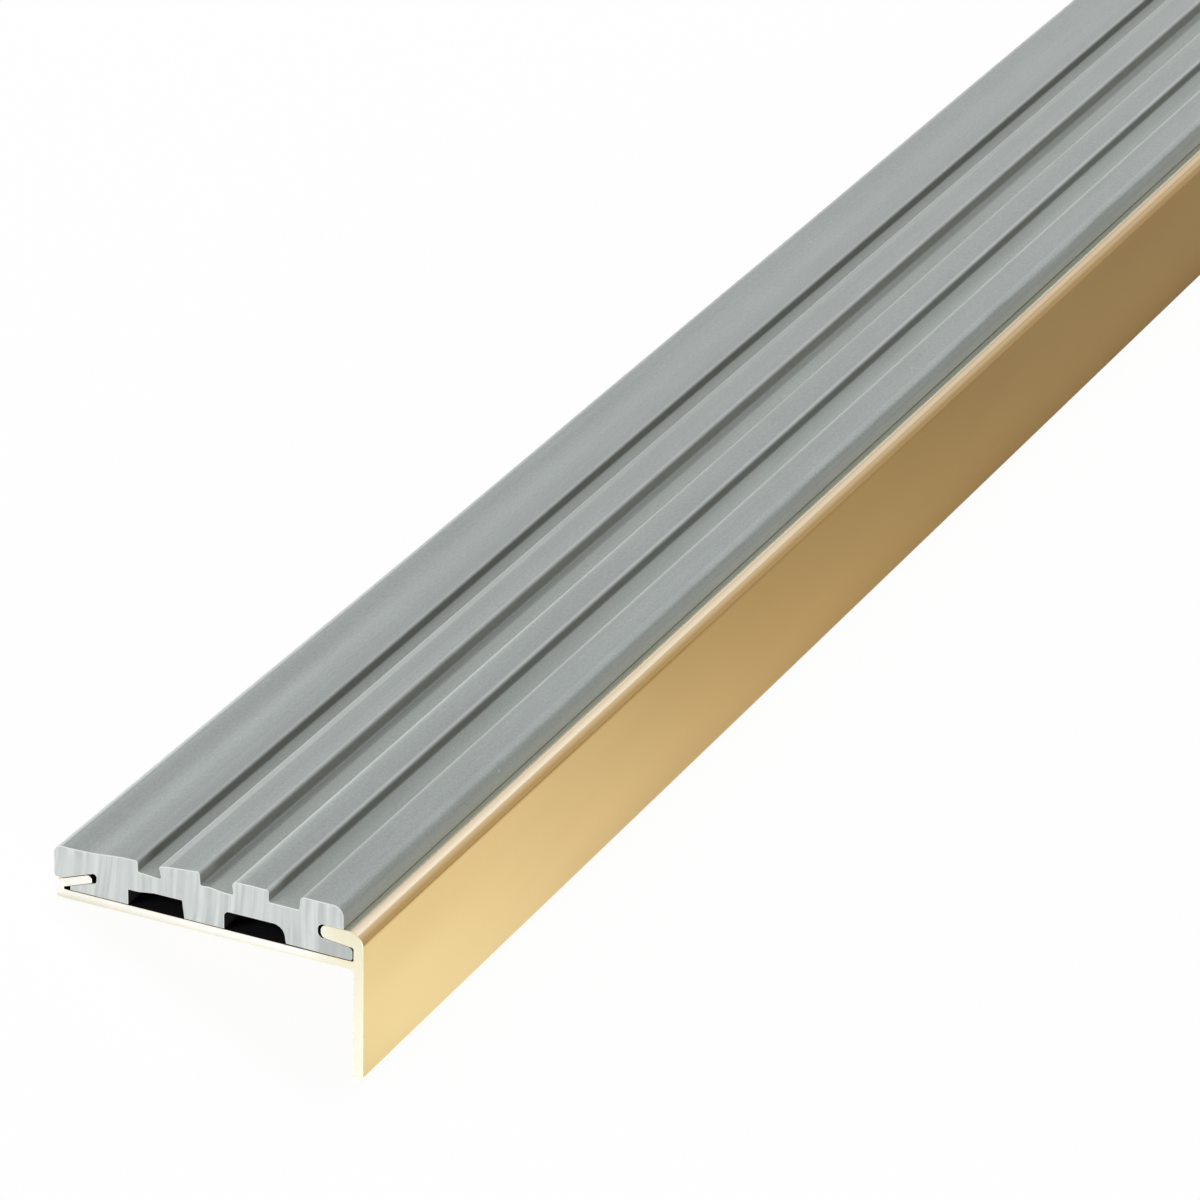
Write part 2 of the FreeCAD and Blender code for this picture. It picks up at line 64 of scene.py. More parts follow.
class Value:
    """A number in a node tree, with Python's arithmetic as Math nodes."""

    def __init__(self, wiring: "Wiring", socket: bpy.types.NodeSocket) -> None:
        """Keeps the output socket that gives the number, and the tree that it is in."""
        self.wiring = wiring
        self.socket = socket

    def __add__(self, other: Number) -> "Value":
        """Sum."""
        return self.wiring.math("ADD", self, other)

    def __radd__(self, other: Number) -> "Value":
        """Sum with a plain number first."""
        return self.wiring.math("ADD", other, self)

    def __sub__(self, other: Number) -> "Value":
        """Difference."""
        return self.wiring.math("SUBTRACT", self, other)

    def __rsub__(self, other: Number) -> "Value":
        """Difference with a plain number first."""
        return self.wiring.math("SUBTRACT", other, self)

    def __mul__(self, other: Number) -> "Value":
        """Product."""
        return self.wiring.math("MULTIPLY", self, other)

    def __rmul__(self, other: Number) -> "Value":
        """Product with a plain number first."""
        return self.wiring.math("MULTIPLY", other, self)

    def __truediv__(self, other: Number) -> "Value":
        """Quotient."""
        return self.wiring.math("DIVIDE", self, other)

    def __gt__(self, other: Number) -> "Value":
        """One where this number is the larger, and zero elsewhere."""
        return self.wiring.math("GREATER_THAN", self, other)

    def __lt__(self, other: Number) -> "Value":
        """One where this number is the smaller, and zero elsewhere."""
        return self.wiring.math("LESS_THAN", self, other)

    def __abs__(self) -> "Value":
        """Size without its sign."""
        return self.wiring.math("ABSOLUTE", self)

    def swing(self, reach: Number) -> "Value":
        """How far a pattern is from its middle, one half, times the reach."""
        return (self - 0.5) * reach


class Wiring:
    """Adds nodes to one shader or geometry tree."""

    def __init__(self, tree: bpy.types.NodeTree) -> None:
        """Keeps the node tree to add to."""
        self.tree = tree

    @classmethod
    def afresh(cls, owner: Union[bpy.types.Material, bpy.types.World]) -> "Wiring":
        """Empties the nodes of a material or a world, to wire it anew."""
        owner.use_nodes = True
        owner.node_tree.nodes.clear()
        return cls(owner.node_tree)

    @staticmethod
    def _socket(sockets: Iterable[bpy.types.NodeSocket], key: Union[str, int]) -> bpy.types.NodeSocket:
        """Finds a socket by its place, identifier or name.

        Args:
            sockets: A node's inputs or outputs.
            key: Place in the list, identifier or name.

        Returns:
            The socket, one that is in use where several share a name.
        """
        if isinstance(key, int):
            return sockets[key]
        for socket in sockets:
            if socket.identifier == key and socket.enabled:
                return socket
        return next(socket for socket in sockets if socket.name == key and socket.enabled)

    def node(self, kind: str, settings: Mapping[str, Any] = {}, inputs: Mapping[Any, Any] = {}) -> bpy.types.Node:
        """Adds one node.

        Args:
            kind: Blender's name for the node's type.
            settings: Properties, set before anything is linked.
            inputs: Values or links of its sockets, by name, identifier or place.

        Returns:
            The new node.
        """
        node = self.tree.nodes.new(kind)
        for name, value in settings.items():
            setattr(node, name, value)
        for key, value in inputs.items():
            socket = self._socket(node.inputs, key)
            if isinstance(value, Value):
                self.tree.links.new(value.socket, socket)
            else:
                socket.default_value = value
        return node

    def get(self, kind: str, output: Union[str, int] = 0, settings: Mapping[str, Any] = {},
            inputs: Mapping[Any, Any] = {}) -> Value:
        """Adds one node and gives the output of that name, identifier or place."""
        return Value(self, self._socket(self.node(kind, settings, inputs).outputs, output))

    def math(self, operation: str, *numbers: Number) -> Value:
        """Adds a Math node of that operation."""
        return self.get("ShaderNodeMath", 0, {"operation": operation}, dict(enumerate(numbers)))

    def vector_math(self, operation: str, first: Any, second: Any) -> Value:
        """Adds a Vector Math node of two vectors, and gives a number where the operation does."""
        output = "Value" if operation == "DISTANCE" else "Vector"
        return self.get("ShaderNodeVectorMath", output, {"operation": operation}, {0: first, 1: second})

    def combine(self, x: Number, y: Number, z: Number) -> Value:
        """Joins three numbers into a vector."""
        return self.get("ShaderNodeCombineXYZ", 0, {}, {0: x, 1: y, 2: z})

    def separate(self, vector: Value) -> tuple[Value, Value, Value]:
        """Splits a vector into its three numbers."""
        node = self.node("ShaderNodeSeparateXYZ", {}, {0: vector})
        return tuple(Value(self, socket) for socket in node.outputs)

    def mix(self, factor: Number, first: Any, second: Any, blend: str = "MIX") -> Value:
        """Mixes two colours.

        Args:
            factor: Share of the second colour.
            first: First colour or link.
            second: Second colour or link.
            blend: How the second goes over the first.

        Returns:
            The mixed colour.
        """
        first, second = (colour if isinstance(colour, Value) else (*colour, 1.0) for colour in (first, second))
        settings = {"data_type": "RGBA", "blend_type": blend, "clamp_factor": True}
        inputs = {"Factor_Float": factor, "A_Color": first, "B_Color": second}
        return self.get("ShaderNodeMix", "Result_Color", settings, inputs)

    def shade(self, colour: Value, tone: Value) -> Value:
        """Makes a colour paler or darker by a number."""
        return self.mix(1.0, colour, self.combine(tone, tone, tone), "MULTIPLY")

    def ease(self, value: Number, span: tuple[Number, Number]) -> Value:
        """Smooth step from zero at the span's start to one at its end."""
        settings = {"interpolation_type": "SMOOTHSTEP", "clamp": True}
        inputs = {"Value": value, "From Min": span[0], "From Max": span[1], "To Min": 0.0, "To Max": 1.0}
        return self.get("ShaderNodeMapRange", "Result", settings, inputs)

    def fade(self, value: Number, span: tuple[Number, Number]) -> Value:
        """Smooth step from one at the span's start to zero at its end."""
        return 1.0 - self.ease(value, span)

    def within(self, value: Value, span: tuple[Number, Number]) -> Value:
        """One inside a span, and zero elsewhere."""
        return (value > span[0]) * (value < span[1])

    def ramp(self, value: Value, stops: Stops) -> Value:
        """Colour that changes evenly from stop to stop along a value.

        Args:
            value: The value.
            stops: Values in rising order, each with its colour.

        Returns:
            The colour.
        """
        low, high = stops[0][0], stops[-1][0]
        node = self.node("ShaderNodeValToRGB", {}, {"Fac": (value - low) / (high - low)})
        elements = node.color_ramp.elements
        for (_, colour), element in zip((stops[0], stops[-1]), elements):
            element.color = (*colour, 1.0)
        for at, colour in stops[1:-1]:
            elements.new((at - low) / (high - low)).color = (*colour, 1.0)
        return Value(self, node.outputs["Color"])

    def seen_by(self, *rays: str) -> Value:
        """One for rays of the named kinds, and zero for all others."""
        path = self.node("ShaderNodeLightPath")
        return reduce(partial(self.math, "MAXIMUM"), (Value(self, path.outputs[f"Is {ray} Ray"]) for ray in rays))


@dataclass(frozen=True)
class Pattern:
    """A noise, with its features per unit along the three axes.

    The seed is a slice of the four-dimensional noise, so that no two patterns agree.
    """

    grain: Triple
    detail: float
    roughness: float
    seed: Number

    def on(self, w: Wiring, place: Value, output: str = "Fac") -> Value:
        """The pattern at a place, around one half: Fac is one number, and Color three."""
        inputs = {"Vector": w.vector_math("MULTIPLY", place, self.grain), "W": self.seed, "Scale": 1.0,
                  "Detail": self.detail, "Roughness": self.roughness}
        return w.get("ShaderNodeTexNoise", output, {"noise_dimensions": "4D"}, inputs)


# ---------------------------------------------------------------- how the nosing lies


@dataclass(frozen=True)
class Lie:
    """Tilt and shift that lay the installed sections down as the loose nosing rests.

    The nosing stands on the foot of its leg and the rear lower edge of its plate.
    """

    leg_depth: float = 17.8
    plate_run: float = 48.4
    back: float = -28.101954201634335
    lift: float = 0.4719670919215338

    @property
    def tilt(self) -> float:
        """Turn about the length, in radians."""
        return math.atan2(self.leg_depth, self.plate_run)

    def turned(self, along: float, across: float, up: float) -> Vector:
        """A direction of the installed section in the frame."""
        c, s = math.cos(self.tilt), math.sin(self.tilt)
        return Vector((along, across * c + up * s, up * c - across * s))

    def point(self, along: float, across: float, up: float) -> Vector:
        """A point of the installed section, in millimetres, in the frame's metres."""
        return (self.turned(along, across, up) + Vector((0.0, self.back, self.lift))) * MM

    def installed(self, place: Vector) -> Triple:
        """A point of the frame as along, across and up of the installed section, in millimetres."""
        x, y, z = place / MM
        c, s = math.cos(self.tilt), math.sin(self.tilt)
        y, z = y - self.back, z - self.lift
        return x, y * c - z * s, y * s + z * c

    def coordinates(self, wiring: Wiring) -> Value:
        """Object coordinates in a material, turned back to the installed section in millimetres."""
        own = wiring.get("ShaderNodeTexCoord", "Object")
        inputs = {"Vector": own, "Location": (0.0, self.back * MM, self.lift * MM),
                  "Rotation": (-self.tilt, 0.0, 0.0), "Scale": (MM, MM, MM)}
        return wiring.get("ShaderNodeMapping", "Vector", {"vector_type": "TEXTURE"}, inputs)


LIE = Lie()


# ---------------------------------------------------------------- finishes


class Shader:
    """A new material with one Principled shader, read on the installed section's coordinates."""

    def __init__(self, name: str, constants: Mapping[str, Any]) -> None:
        """Makes the material.

        Args:
            name: The material's name.
            constants: Sockets of the shader that are the same all over.
        """
        self.material = bpy.data.materials.new(name)
        self.wiring = Wiring.afresh(self.material)
        self.surface = self.wiring.node("ShaderNodeBsdfPrincipled", {}, constants)
        self.wiring.node("ShaderNodeOutputMaterial", {}, {"Surface": Value(self.wiring, self.surface.outputs[0])})
        self.place = LIE.coordinates(self.wiring)

    def attribute(self, name: str) -> Value:
        """A number that the mesh carries on its points."""
        return self.wiring.get("ShaderNodeAttribute", "Fac", {"attribute_name": name})

    def patterns(self, *kinds: Pattern) -> list[Value]:
        """Patterns on the installed section's coordinates."""
        return [kind.on(self.wiring, self.place) for kind in kinds]

    def finish(self, colour: Value, roughness: Value, *layers: tuple[Value, float]) -> bpy.types.Material:
        """Links what varies over the surface.

        Args:
            colour: Base colour.
            roughness: Roughness.
            layers: Bump layers: height between zero and one, and full height in millimetres.

        Returns:
            The material.
        """
        varying = {"Base Color": colour, "Roughness": roughness}
        for height, depth in layers:
            inputs = {"Strength": 1.0, "Distance": depth * MM, "Height": height}
            below = {"Normal": varying["Normal"]} if "Normal" in varying else {}
            varying["Normal"] = self.wiring.get("ShaderNodeBump", "Normal", {}, {**inputs, **below})
        for socket, value in varying.items():
            self.wiring.tree.links.new(value.socket, self.surface.inputs[socket])
        return self.material


@dataclass(frozen=True)
class GoldAnodising:
    """Satin gold anodised skin of the extrusion, with faint die lines along its length.

    The lip's colours are painted highlight and shade, given by the place across the nose, and further along the length
    they change to a painted far look.
    """

    colour: Triple = (0.415, 0.257, 0.068)
    deep: Triple = (0.385, 0.233, 0.057)
    edge_tint: Triple = (1.0, 0.93, 0.82)
    # Painted reflection across the nose and lip: the rounding brightens, then a painted darker brown band, a
    # near-white painted highlight strip where the lip top starts, a grey-green strip beside the insert, and painted
    # shade at the insert's foot.
    lip: Stops = (
        (0.25, (0.425, 0.283, 0.113)),
        (0.50, (0.546, 0.385, 0.186)),
        (0.77, (0.613, 0.471, 0.271)),
        (0.92, (0.686, 0.590, 0.430)),
        (1.06, (0.554, 0.490, 0.374)),
        (1.23, (0.515, 0.460, 0.355)),
        (1.60, (0.441, 0.370, 0.275)),
        (1.88, (0.445, 0.354, 0.250)),
        (2.08, (0.930, 0.750, 0.545)),
        (2.22, (1.000, 0.985, 0.890)),
        (2.36, (0.930, 0.940, 0.850)),
        (2.50, (0.720, 0.750, 0.675)),
        (2.78, (0.750, 0.745, 0.645)),
        (3.02, (0.720, 0.725, 0.615)),
        (3.18, (0.370, 0.370, 0.310)),
    )
    # Painted far look, multiplied in further along the length: the painted highlight dims and turns bluish and the
    # brown band darkens.
    painted_far_lip: Stops = (
        (0.24, (0.80, 0.78, 0.90)),
        (0.39, (0.85, 0.89, 1.00)),
        (0.69, (0.96, 0.95, 1.00)),
        (0.79, (0.76, 0.68, 0.62)),
        (0.91, (0.59, 0.49, 0.37)),
        (1.03, (0.62, 0.54, 0.45)),
        (1.16, (0.71, 0.65, 0.61)),
        (1.45, (0.80, 0.73, 0.67)),
        (1.76, (0.735, 0.67, 0.55)),
        (1.92, (0.72, 0.79, 0.82)),
        (2.10, (0.575, 0.735, 0.89)),
        (2.30, (0.57, 0.68, 0.72)),
        (2.50, (0.86, 0.85, 0.80)),
        (2.90, (0.90, 0.92, 0.88)),
        (3.18, (0.70, 0.68, 0.65)),
    )
    painted_far_lip_run: Span = (-430.0, -180.0)
    lip_start: Span = (22.0, 22.9)
    # Painted highlight: a band of the leg just below the nose rounding is painted paler and bluer.
    painted_bend_lift: Triple = (1.19, 1.18, 1.45)
    bend_start: Span = (21.6, 22.15)
    bend_end: Span = (22.2, 22.75)
    die_lines: Pattern = Pattern((0.004, 5.0, 5.0), 3.0, 0.6, 1.0)
    cloud: Pattern = Pattern((0.012, 0.05, 0.05), 2.0, 0.5, 2.0)
    smear: Pattern = Pattern((0.05, 0.16, 0.16), 3.0, 0.55, 3.0)
    tone_shares: Triple = (0.6, 0.25, 0.15)
    tone_limits: Span = (0.35, 0.65)
    roughness: float = 0.17
    smeared: float = 0.10
    lined: float = 0.05
    line_depth: float = 0.0012

    def material(self) -> bpy.types.Material:
        """Builds the finish."""
        shader = Shader("gold_anodising", {"Metallic": 1.0, "Specular Tint": (*self.edge_tint, 1.0)})
        w = shader.wiring
        cloud, smear, lines = shader.patterns(self.cloud, self.smear, self.die_lines)
        clouds, smears, fine = self.tone_shares
        tone = w.ease(cloud * clouds + smear * smears + lines * fine, self.tone_limits)
        along, across, up = w.separate(shader.place)
        lip = w.mix(w.ease(along, self.painted_far_lip_run), w.ramp(across, self.lip), w.ramp(across, self.painted_far_lip), "MULTIPLY")
        base = w.mix(w.ease(up, self.lip_start), w.mix(tone, self.deep, self.colour), lip)
        bend = w.ease(up, self.bend_start) * w.fade(up, self.bend_end)
        return shader.finish(w.mix(bend, base, self.painted_bend_lift, "MULTIPLY"),
                             self.roughness + smear.swing(self.smeared) + lines.swing(self.lined),
                             (lines, self.line_depth))


@dataclass(frozen=True)
class SawArcs:
    """Long arcs that a saw blade leaves on the cut ends: fine streaks and broad ones, in bundles."""

    centre: Triple = (0.0, 96.0, 27.0)
    wander: float = 2.3
    lean: float = 0.04
    bend: Pattern = Pattern((0.0, 0.09, 0.09), 1.0, 0.5, 11.0)
    broad: Pattern = Pattern((0.7, 1.0, 1.0), 1.0, 0.5, 13.0)
    bundles: Pattern = Pattern((0.0, 0.22, 0.22), 2.0, 0.5, 14.0)
    shares: Span = (0.45, 0.55)
    limits: Span = (0.38, 0.62)
    strength: Span = (0.40, 0.70)

    def pattern(self, shader: Shader, lines: float) -> Value:
        """Streaks that run nearly upright over the cut.

        Args:
            shader: The material.
            lines: Fine streaks per millimetre.

        Returns:
            The streaks, between zero and one.
        """
        w = shader.wiring
        bend, bundles = shader.patterns(self.bend, self.bundles)
        flat = w.vector_math("MULTIPLY", shader.place, (0.0, 1.0, 1.0))
        radius = w.vector_math("DISTANCE", flat, self.centre) + bend * self.wander
        ruler = w.combine(radius, w.separate(shader.place)[2] * self.lean, 0.0)
        fine = Pattern((lines, 1.0, 1.0), 2.0, 0.6, 12.0).on(w, ruler)
        streaks = w.ease(fine * self.shares[0] + self.broad.on(w, ruler) * self.shares[1], self.limits)
        return 0.5 + streaks.swing(self.strength[0] + w.ease(bundles, self.limits) * self.strength[1])


@dataclass(frozen=True)
class CutAluminium:
    """Bare aluminium where the extrusion was sawn and drilled, with the blade's arcs and, away from the plate, a
    painted warm reflection of the gold leg.
    """

    # Painted reflection of the gold leg: cut faces away from the plate are painted warm; the plate's cut face is
    # paler.
    colour: Triple = (0.705, 0.605, 0.385)
    plate_colour: Triple = (0.81, 0.745, 0.60)
    plate_across: Span = (3.0, 12.0)
    plate_up: Span = (17.7, 18.9)
    streaks: float = 2.4
    streak_tone: float = 0.05
    streak_depth: float = 0.004
    roughness: float = 0.42
    streaked: float = 0.12

    def material(self) -> bpy.types.Material:
        """Builds the finish."""
        shader = Shader("cut_aluminium", {"Metallic": 0.75})
        w = shader.wiring
        arcs = SawArcs().pattern(shader, self.streaks)
        _, across, up = w.separate(shader.place)
        plate = w.ease(across, self.plate_across) * w.ease(up, self.plate_up)
        base = w.shade(w.mix(plate, self.colour, self.plate_colour), 1.0 - self.streak_tone + arcs * self.streak_tone)
        return shader.finish(base, self.roughness + arcs.swing(self.streaked), (arcs, self.streak_depth))


@dataclass(frozen=True)
class SkinReading:
    """What the parts of the insert's skin read at each place.

    Far rises from zero near the front cut end to one, and nearby falls from one. Depth, the edge mask
    and wall are the mesh's own: groove floor, scuffed edge with painted highlight, and upright face.
    """

    w: Wiring
    across: Value
    up: Value
    depth: Value
    scuff_and_highlight: Value
    wall: Value
    patches: Value
    far: Value
    nearby: Value

    def between(self, near_and_far: Span) -> Value:
        """A number that changes from its value near the cut end to its value far from it."""
        near, far = near_and_far
        return near + self.far * (far - near)


@dataclass(frozen=True)
class VinylSkin:
    """Drawn outer skin of the grey insert: fine lengthwise lines and dust, with soft bands of painted highlight and
    shade.

    Bands are painted levels of light by the place across. A lift or shade of two numbers has the near one first.
    """

    colour: Triple = (0.335, 0.368, 0.355)
    floor_colour: Triple = (0.325, 0.358, 0.336)
    # Painted shade: upright walls are coloured darker than the tops.
    wall_shade_colour: Triple = (0.303, 0.308, 0.273)
    # Painted shade on the front rib's front face and shoulder, near and far along the length, darkest at its foot
    # against the lip.
    front_shade_colour: Triple = (0.312, 0.333, 0.290)
    far_front_shade_colour: Triple = (0.33, 0.355, 0.327)
    shoulder_shade_colour: Triple = (0.318, 0.341, 0.313)
    far_shoulder_shade_colour: Triple = (0.276, 0.296, 0.270)
    foot_shade_colour: Triple = (0.17, 0.18, 0.15)
    # Pale rib edges: partly scuffing, partly painted highlight, fading further from the cut end.
    worn_colour: Triple = (0.62, 0.66, 0.645)
    dust_colour: Triple = (0.62, 0.65, 0.62)
    # Painted highlight and shade by the place across: bright lines along the rib edges and lighter and darker bands on
    # the rear rib.
    bands: tuple[Span, ...] = (
        (4.2, 1.00), (7.0, 1.07), (8.8, 1.04), (15.8, 1.00), (18.5, 1.02), (19.2, 1.05), (19.75, 1.18),
        (20.0, 1.33), (20.3, 1.47), (20.8, 1.25), (21.1, 1.06), (25.5, 1.00), (26.4, 1.00), (27.3, 1.11),
        (28.7, 1.08), (29.6, 1.00), (32.0, 1.08), (33.0, 1.05), (36.8, 1.00), (38.2, 0.96), (39.0, 1.05),
        (39.6, 1.00), (41.8, 1.13), (42.6, 1.23), (43.6, 1.22), (44.6, 1.06), (45.35, 0.975), (46.1, 0.907),
        (47.1, 0.915), (47.9, 1.03), (48.4, 1.12))
    drawn: Pattern = Pattern((0.006, 2.6, 2.6), 3.0, 0.62, 21.0)
    streaks: Pattern = Pattern((0.011, 0.42, 0.42), 2.0, 0.5, 22.0)
    grain: Pattern = Pattern((2.2, 2.8, 2.8), 3.0, 0.65, 23.0)
    patches: Pattern = Pattern((0.07, 0.22, 0.22), 2.0, 0.5, 24.0)
    sway: Pattern = Pattern((0.035, 0.0, 0.0), 1.0, 0.5, 25.0)
    tone_swings: tuple[float, ...] = (0.18, 0.28, 0.75, 0.14)
    far_run: Span = (-430.0, -300.0)
    nearby_run: Span = (-445.0, -250.0)
    nearby_loss: float = 0.8
    # Painted shade on the walls next to the cut end.
    end_run: Span = (-450.0, -440.0)
    end_wall_shade: float = 0.36
    shoulder: Span = (3.2, 3.6)
    foot: Span = (24.05, 24.28)
    front_end: Span = (3.5, 3.95)
    front_end_swings: Span = (0.7, -1.3)
    # Painted highlight on the front rib's crest.
    crest_start: Span = (3.65, 4.05)
    crest_end: Span = (4.5, 5.3)
    crest_lift: Span = (0.13, 0.19)
    crest_swing: float = 0.2
    # Painted shade in the middle groove's gutter.
    gutter_start: Span = (24.4, 25.0)
    gutter_end: Span = (26.3, 25.9)
    gutter_shade: Span = (0.24, 0.16)
    # Painted light: groove floors are made paler, the far ones too.
    first_groove_end: float = 16.0
    first_groove_lift: float = 0.06
    first_groove_rear: Span = (13.0, 15.0)
    first_groove_rear_lift: float = 0.10
    second_groove_end: float = 24.5
    far_groove_lift: float = 0.09
    # Painted light on the second groove's wall.
    second_wall: Span = (25.0, 27.0)
    second_wall_lift: Span = (0.28, 0.42)
    # Painted highlight along the third rib's rear edge.
    ridge_start: Span = (31.3, 31.6)
    ridge_end: Span = (32.5, 32.8)
    ridge_up: Span = (26.0, 26.3)
    ridge_highlight: float = 0.45
    fading_edges: tuple[Span, ...] = ((19.0, 22.0), (29.0, 34.0))
    rear_edge: float = 47.0
    scuff_and_highlight_share: float = 0.95
    scuff_and_highlight_swing: float = 0.9
    dust_grain: Triple = (0.16, 0.30, 0.30)
    dust_chosen: float = 0.72
    dust_size: Span = (0.025, 0.075)
    dust_share: float = 0.5
    roughness: float = 0.42
    roughness_swings: Span = (0.16, 0.12)
    worn_gloss: float = 0.08
    floor_roughness: float = 0.06
    relief: float = 0.010

    def material(self) -> bpy.types.Material:
        """Builds the finish."""
        shader = Shader("vinyl_skin", {"Specular IOR Level": 0.45})
        w = shader.wiring
        surface = shader.patterns(self.drawn, self.streaks, self.grain, self.patches)
        drawn, streaks, grain, patches = surface
        along, across, up = w.separate(shader.place)
        depth, scuff_and_highlight, wall = (shader.attribute(name) for name in ("depth", "scuff_and_highlight", "wall"))
        far, nearby = w.ease(along, self.far_run), 1.0 - w.ease(along, self.nearby_run) * self.nearby_loss
        read = SkinReading(w, across, up, depth, scuff_and_highlight, wall, patches, far, nearby)
        # Painted shade: walls take the darker wall colour, darker still next to the cut end.
        base = w.mix(wall, w.mix(depth, self.colour, self.floor_colour), self.wall_shade_colour)
        base = w.shade(base, 1.0 - wall * w.fade(along, self.end_run) * self.end_wall_shade)
        base = self.front(read, base, shader.patterns(self.sway)[0])
        base = w.shade(base, sum((kind.swing(reach) for kind, reach in zip(surface, self.tone_swings)), 1.0))
        base = self.worn(read, w.shade(base, self.levels(read)))
        base = w.mix(self.dust(shader) * self.dust_share, base, self.dust_colour)
        rough, rough_grain = (kind.swing(reach) for kind, reach in zip((streaks, grain), self.roughness_swings))
        roughness = self.roughness + rough + rough_grain - scuff_and_highlight * self.worn_gloss + depth * self.floor_roughness
        return shader.finish(base, roughness, (drawn, self.relief), (grain, self.relief))

    def front(self, read: SkinReading, base: Value, sway: Value) -> Value:
        """Lays painted shade on the front face and shoulder of the front rib over the skin.

        Args:
            read: What the skin reads.
            base: Colour of the skin so far.
            sway: Pattern that bends the shoulder's far edge.

        Returns:
            The colour with the front.
        """
        w = read.w
        front = w.mix(w.ease(read.across, self.shoulder), w.mix(read.far, self.front_shade_colour, self.far_front_shade_colour),
                      w.mix(read.far, self.shoulder_shade_colour, self.far_shoulder_shade_colour))
        front = w.mix(w.fade(read.up, self.foot), front, self.foot_shade_colour)
        patch_swing, sway_swing = self.front_end_swings
        edge = read.across + read.patches.swing(patch_swing) + sway.swing(sway_swing) * read.far
        return w.mix(w.fade(edge, self.front_end), base, front)

    def levels(self, read: SkinReading) -> Value:
        """Painted level of light at each place across: bands of painted highlight and shade, painted shade in the
        gutter, and paler painted light on the crest, floors and wall.
        """
        w, across = read.w, read.across
        bands = w.ramp(across, tuple((at, (0.5 * level,) * 3) for at, level in self.bands))
        bands = 1.0 + (w.separate(bands)[0] * 2.0 - 1.0) * read.nearby
        end, top = self.gutter_end
        gutter = (w.ease(across, self.gutter_start) * (across < end) * (1.0 - read.wall)
                  * read.between(self.gutter_shade) * (read.up < top))
        crest = (w.ease(across, self.crest_start) * w.fade(across, self.crest_end)
                 * (read.between(self.crest_lift) + read.patches.swing(self.crest_swing)))
        first = self.first_groove_lift + w.ease(across, self.first_groove_rear) * self.first_groove_rear_lift
        floors = read.depth * ((across < self.first_groove_end) * first
                               + (across < self.second_groove_end) * read.far * self.far_groove_lift)
        wall = read.wall * w.within(across, self.second_wall) * read.between(self.second_wall_lift)
        return bands * (1.0 - gutter) + crest + floors + wall

    def worn(self, read: SkinReading, base: Value) -> Value:
        """Pales the edges of the ribs, partly scuffing and partly painted highlight, less so far from the cut end."""
        w, across = read.w, read.across
        ridge = w.ease(across, self.ridge_start) * w.fade(across, self.ridge_end) * w.ease(read.up, self.ridge_up)
        fading = sum((w.within(across, edge) for edge in self.fading_edges), across > self.rear_edge)
        scuff_and_highlight = w.math("MAXIMUM", read.scuff_and_highlight, ridge * self.ridge_highlight) * (1.0 - (1.0 - read.nearby) * fading)
        return w.mix(scuff_and_highlight * (self.scuff_and_highlight_share + read.patches.swing(self.scuff_and_highlight_swing)), base, self.worn_colour)

    def dust(self, shader: Shader) -> Value:
        """Sparse pale specks."""
        w = shader.wiring
        inputs = {"Vector": w.vector_math("MULTIPLY", shader.place, self.dust_grain), "Scale": 1.0, "Randomness": 1.0}
        cells = w.node("ShaderNodeTexVoronoi", {"feature": "F1", "voronoi_dimensions": "3D"}, inputs)
        chosen = w.separate(Value(w, cells.outputs["Color"]))[0] > self.dust_chosen
        return chosen * w.fade(Value(w, cells.outputs["Distance"]), self.dust_size)


@dataclass(frozen=True)
class CutVinyl:
    """Sawn end of the insert: paler than the skin, with the blade's streaks and a pale rim.

    The front wing, under the lip, gets painted shade and more grain.
    """

    colour: Triple = (0.53, 0.565, 0.545)
    pale: Triple = (0.785, 0.825, 0.805)
    rim: Triple = (0.90, 0.93, 0.91)
    rim_run: Span = (449.97, 449.99)
    streaks: float = 1.5
    streak_share: float = 0.8
    grain: Pattern = Pattern((4.5, 4.5, 4.5), 2.0, 0.6, 32.0)
    # Painted shade on the front wing under the lip.
    wing_across: Span = (5.5, 8.5)
    wing_up: Span = (21.5, 22.5)
    wing_grain: float = 0.5
    wing_shade: float = 0.22
    roughness: float = 0.6
    streaked: float = 0.1
    depths: Span = (0.020, 0.008)

    def material(self) -> bpy.types.Material:
        """Builds the finish."""
        shader = Shader("cut_vinyl", {"Specular IOR Level": 0.35})
        w = shader.wiring
        arcs = SawArcs().pattern(shader, self.streaks)
        grain, = shader.patterns(self.grain)
        along, across, up = w.separate(shader.place)
        wing = w.fade(across, self.wing_across) * w.fade(up, self.wing_up)
        share = self.streak_share - wing * self.wing_grain
        base = w.mix(arcs * share + grain * (1.0 - share), self.colour, self.pale)
        base = w.mix(w.fade(abs(along), self.rim_run), base, self.rim)
        return shader.finish(w.shade(base, 1.0 - wing * self.wing_shade), self.roughness + arcs.swing(self.streaked),
                             *zip((arcs, grain), self.depths))


@dataclass(frozen=True)
class PaintedRecessShade:
    """Inside of the screw channels and slots, painted near black as shade, so it stays near black from every side."""

    # Near-black painted shade inside the channels and slots.
    colour: Triple = (0.028, 0.026, 0.029)
    dark_share: float = 0.6
    grain: Pattern = Pattern((2.0, 2.0, 2.0), 2.0, 0.5, 41.0)
    roughness: float = 0.9
    grained: float = 0.1

    def material(self) -> bpy.types.Material:
        """Builds the finish."""
        shader = Shader("painted_recess_shade", {"Specular IOR Level": 0.0})
        grain, = shader.patterns(self.grain)
        dark = tuple(self.dark_share * part for part in self.colour)
        return shader.finish(shader.wiring.mix(grain, dark, self.colour), self.roughness + grain.swing(self.grained))


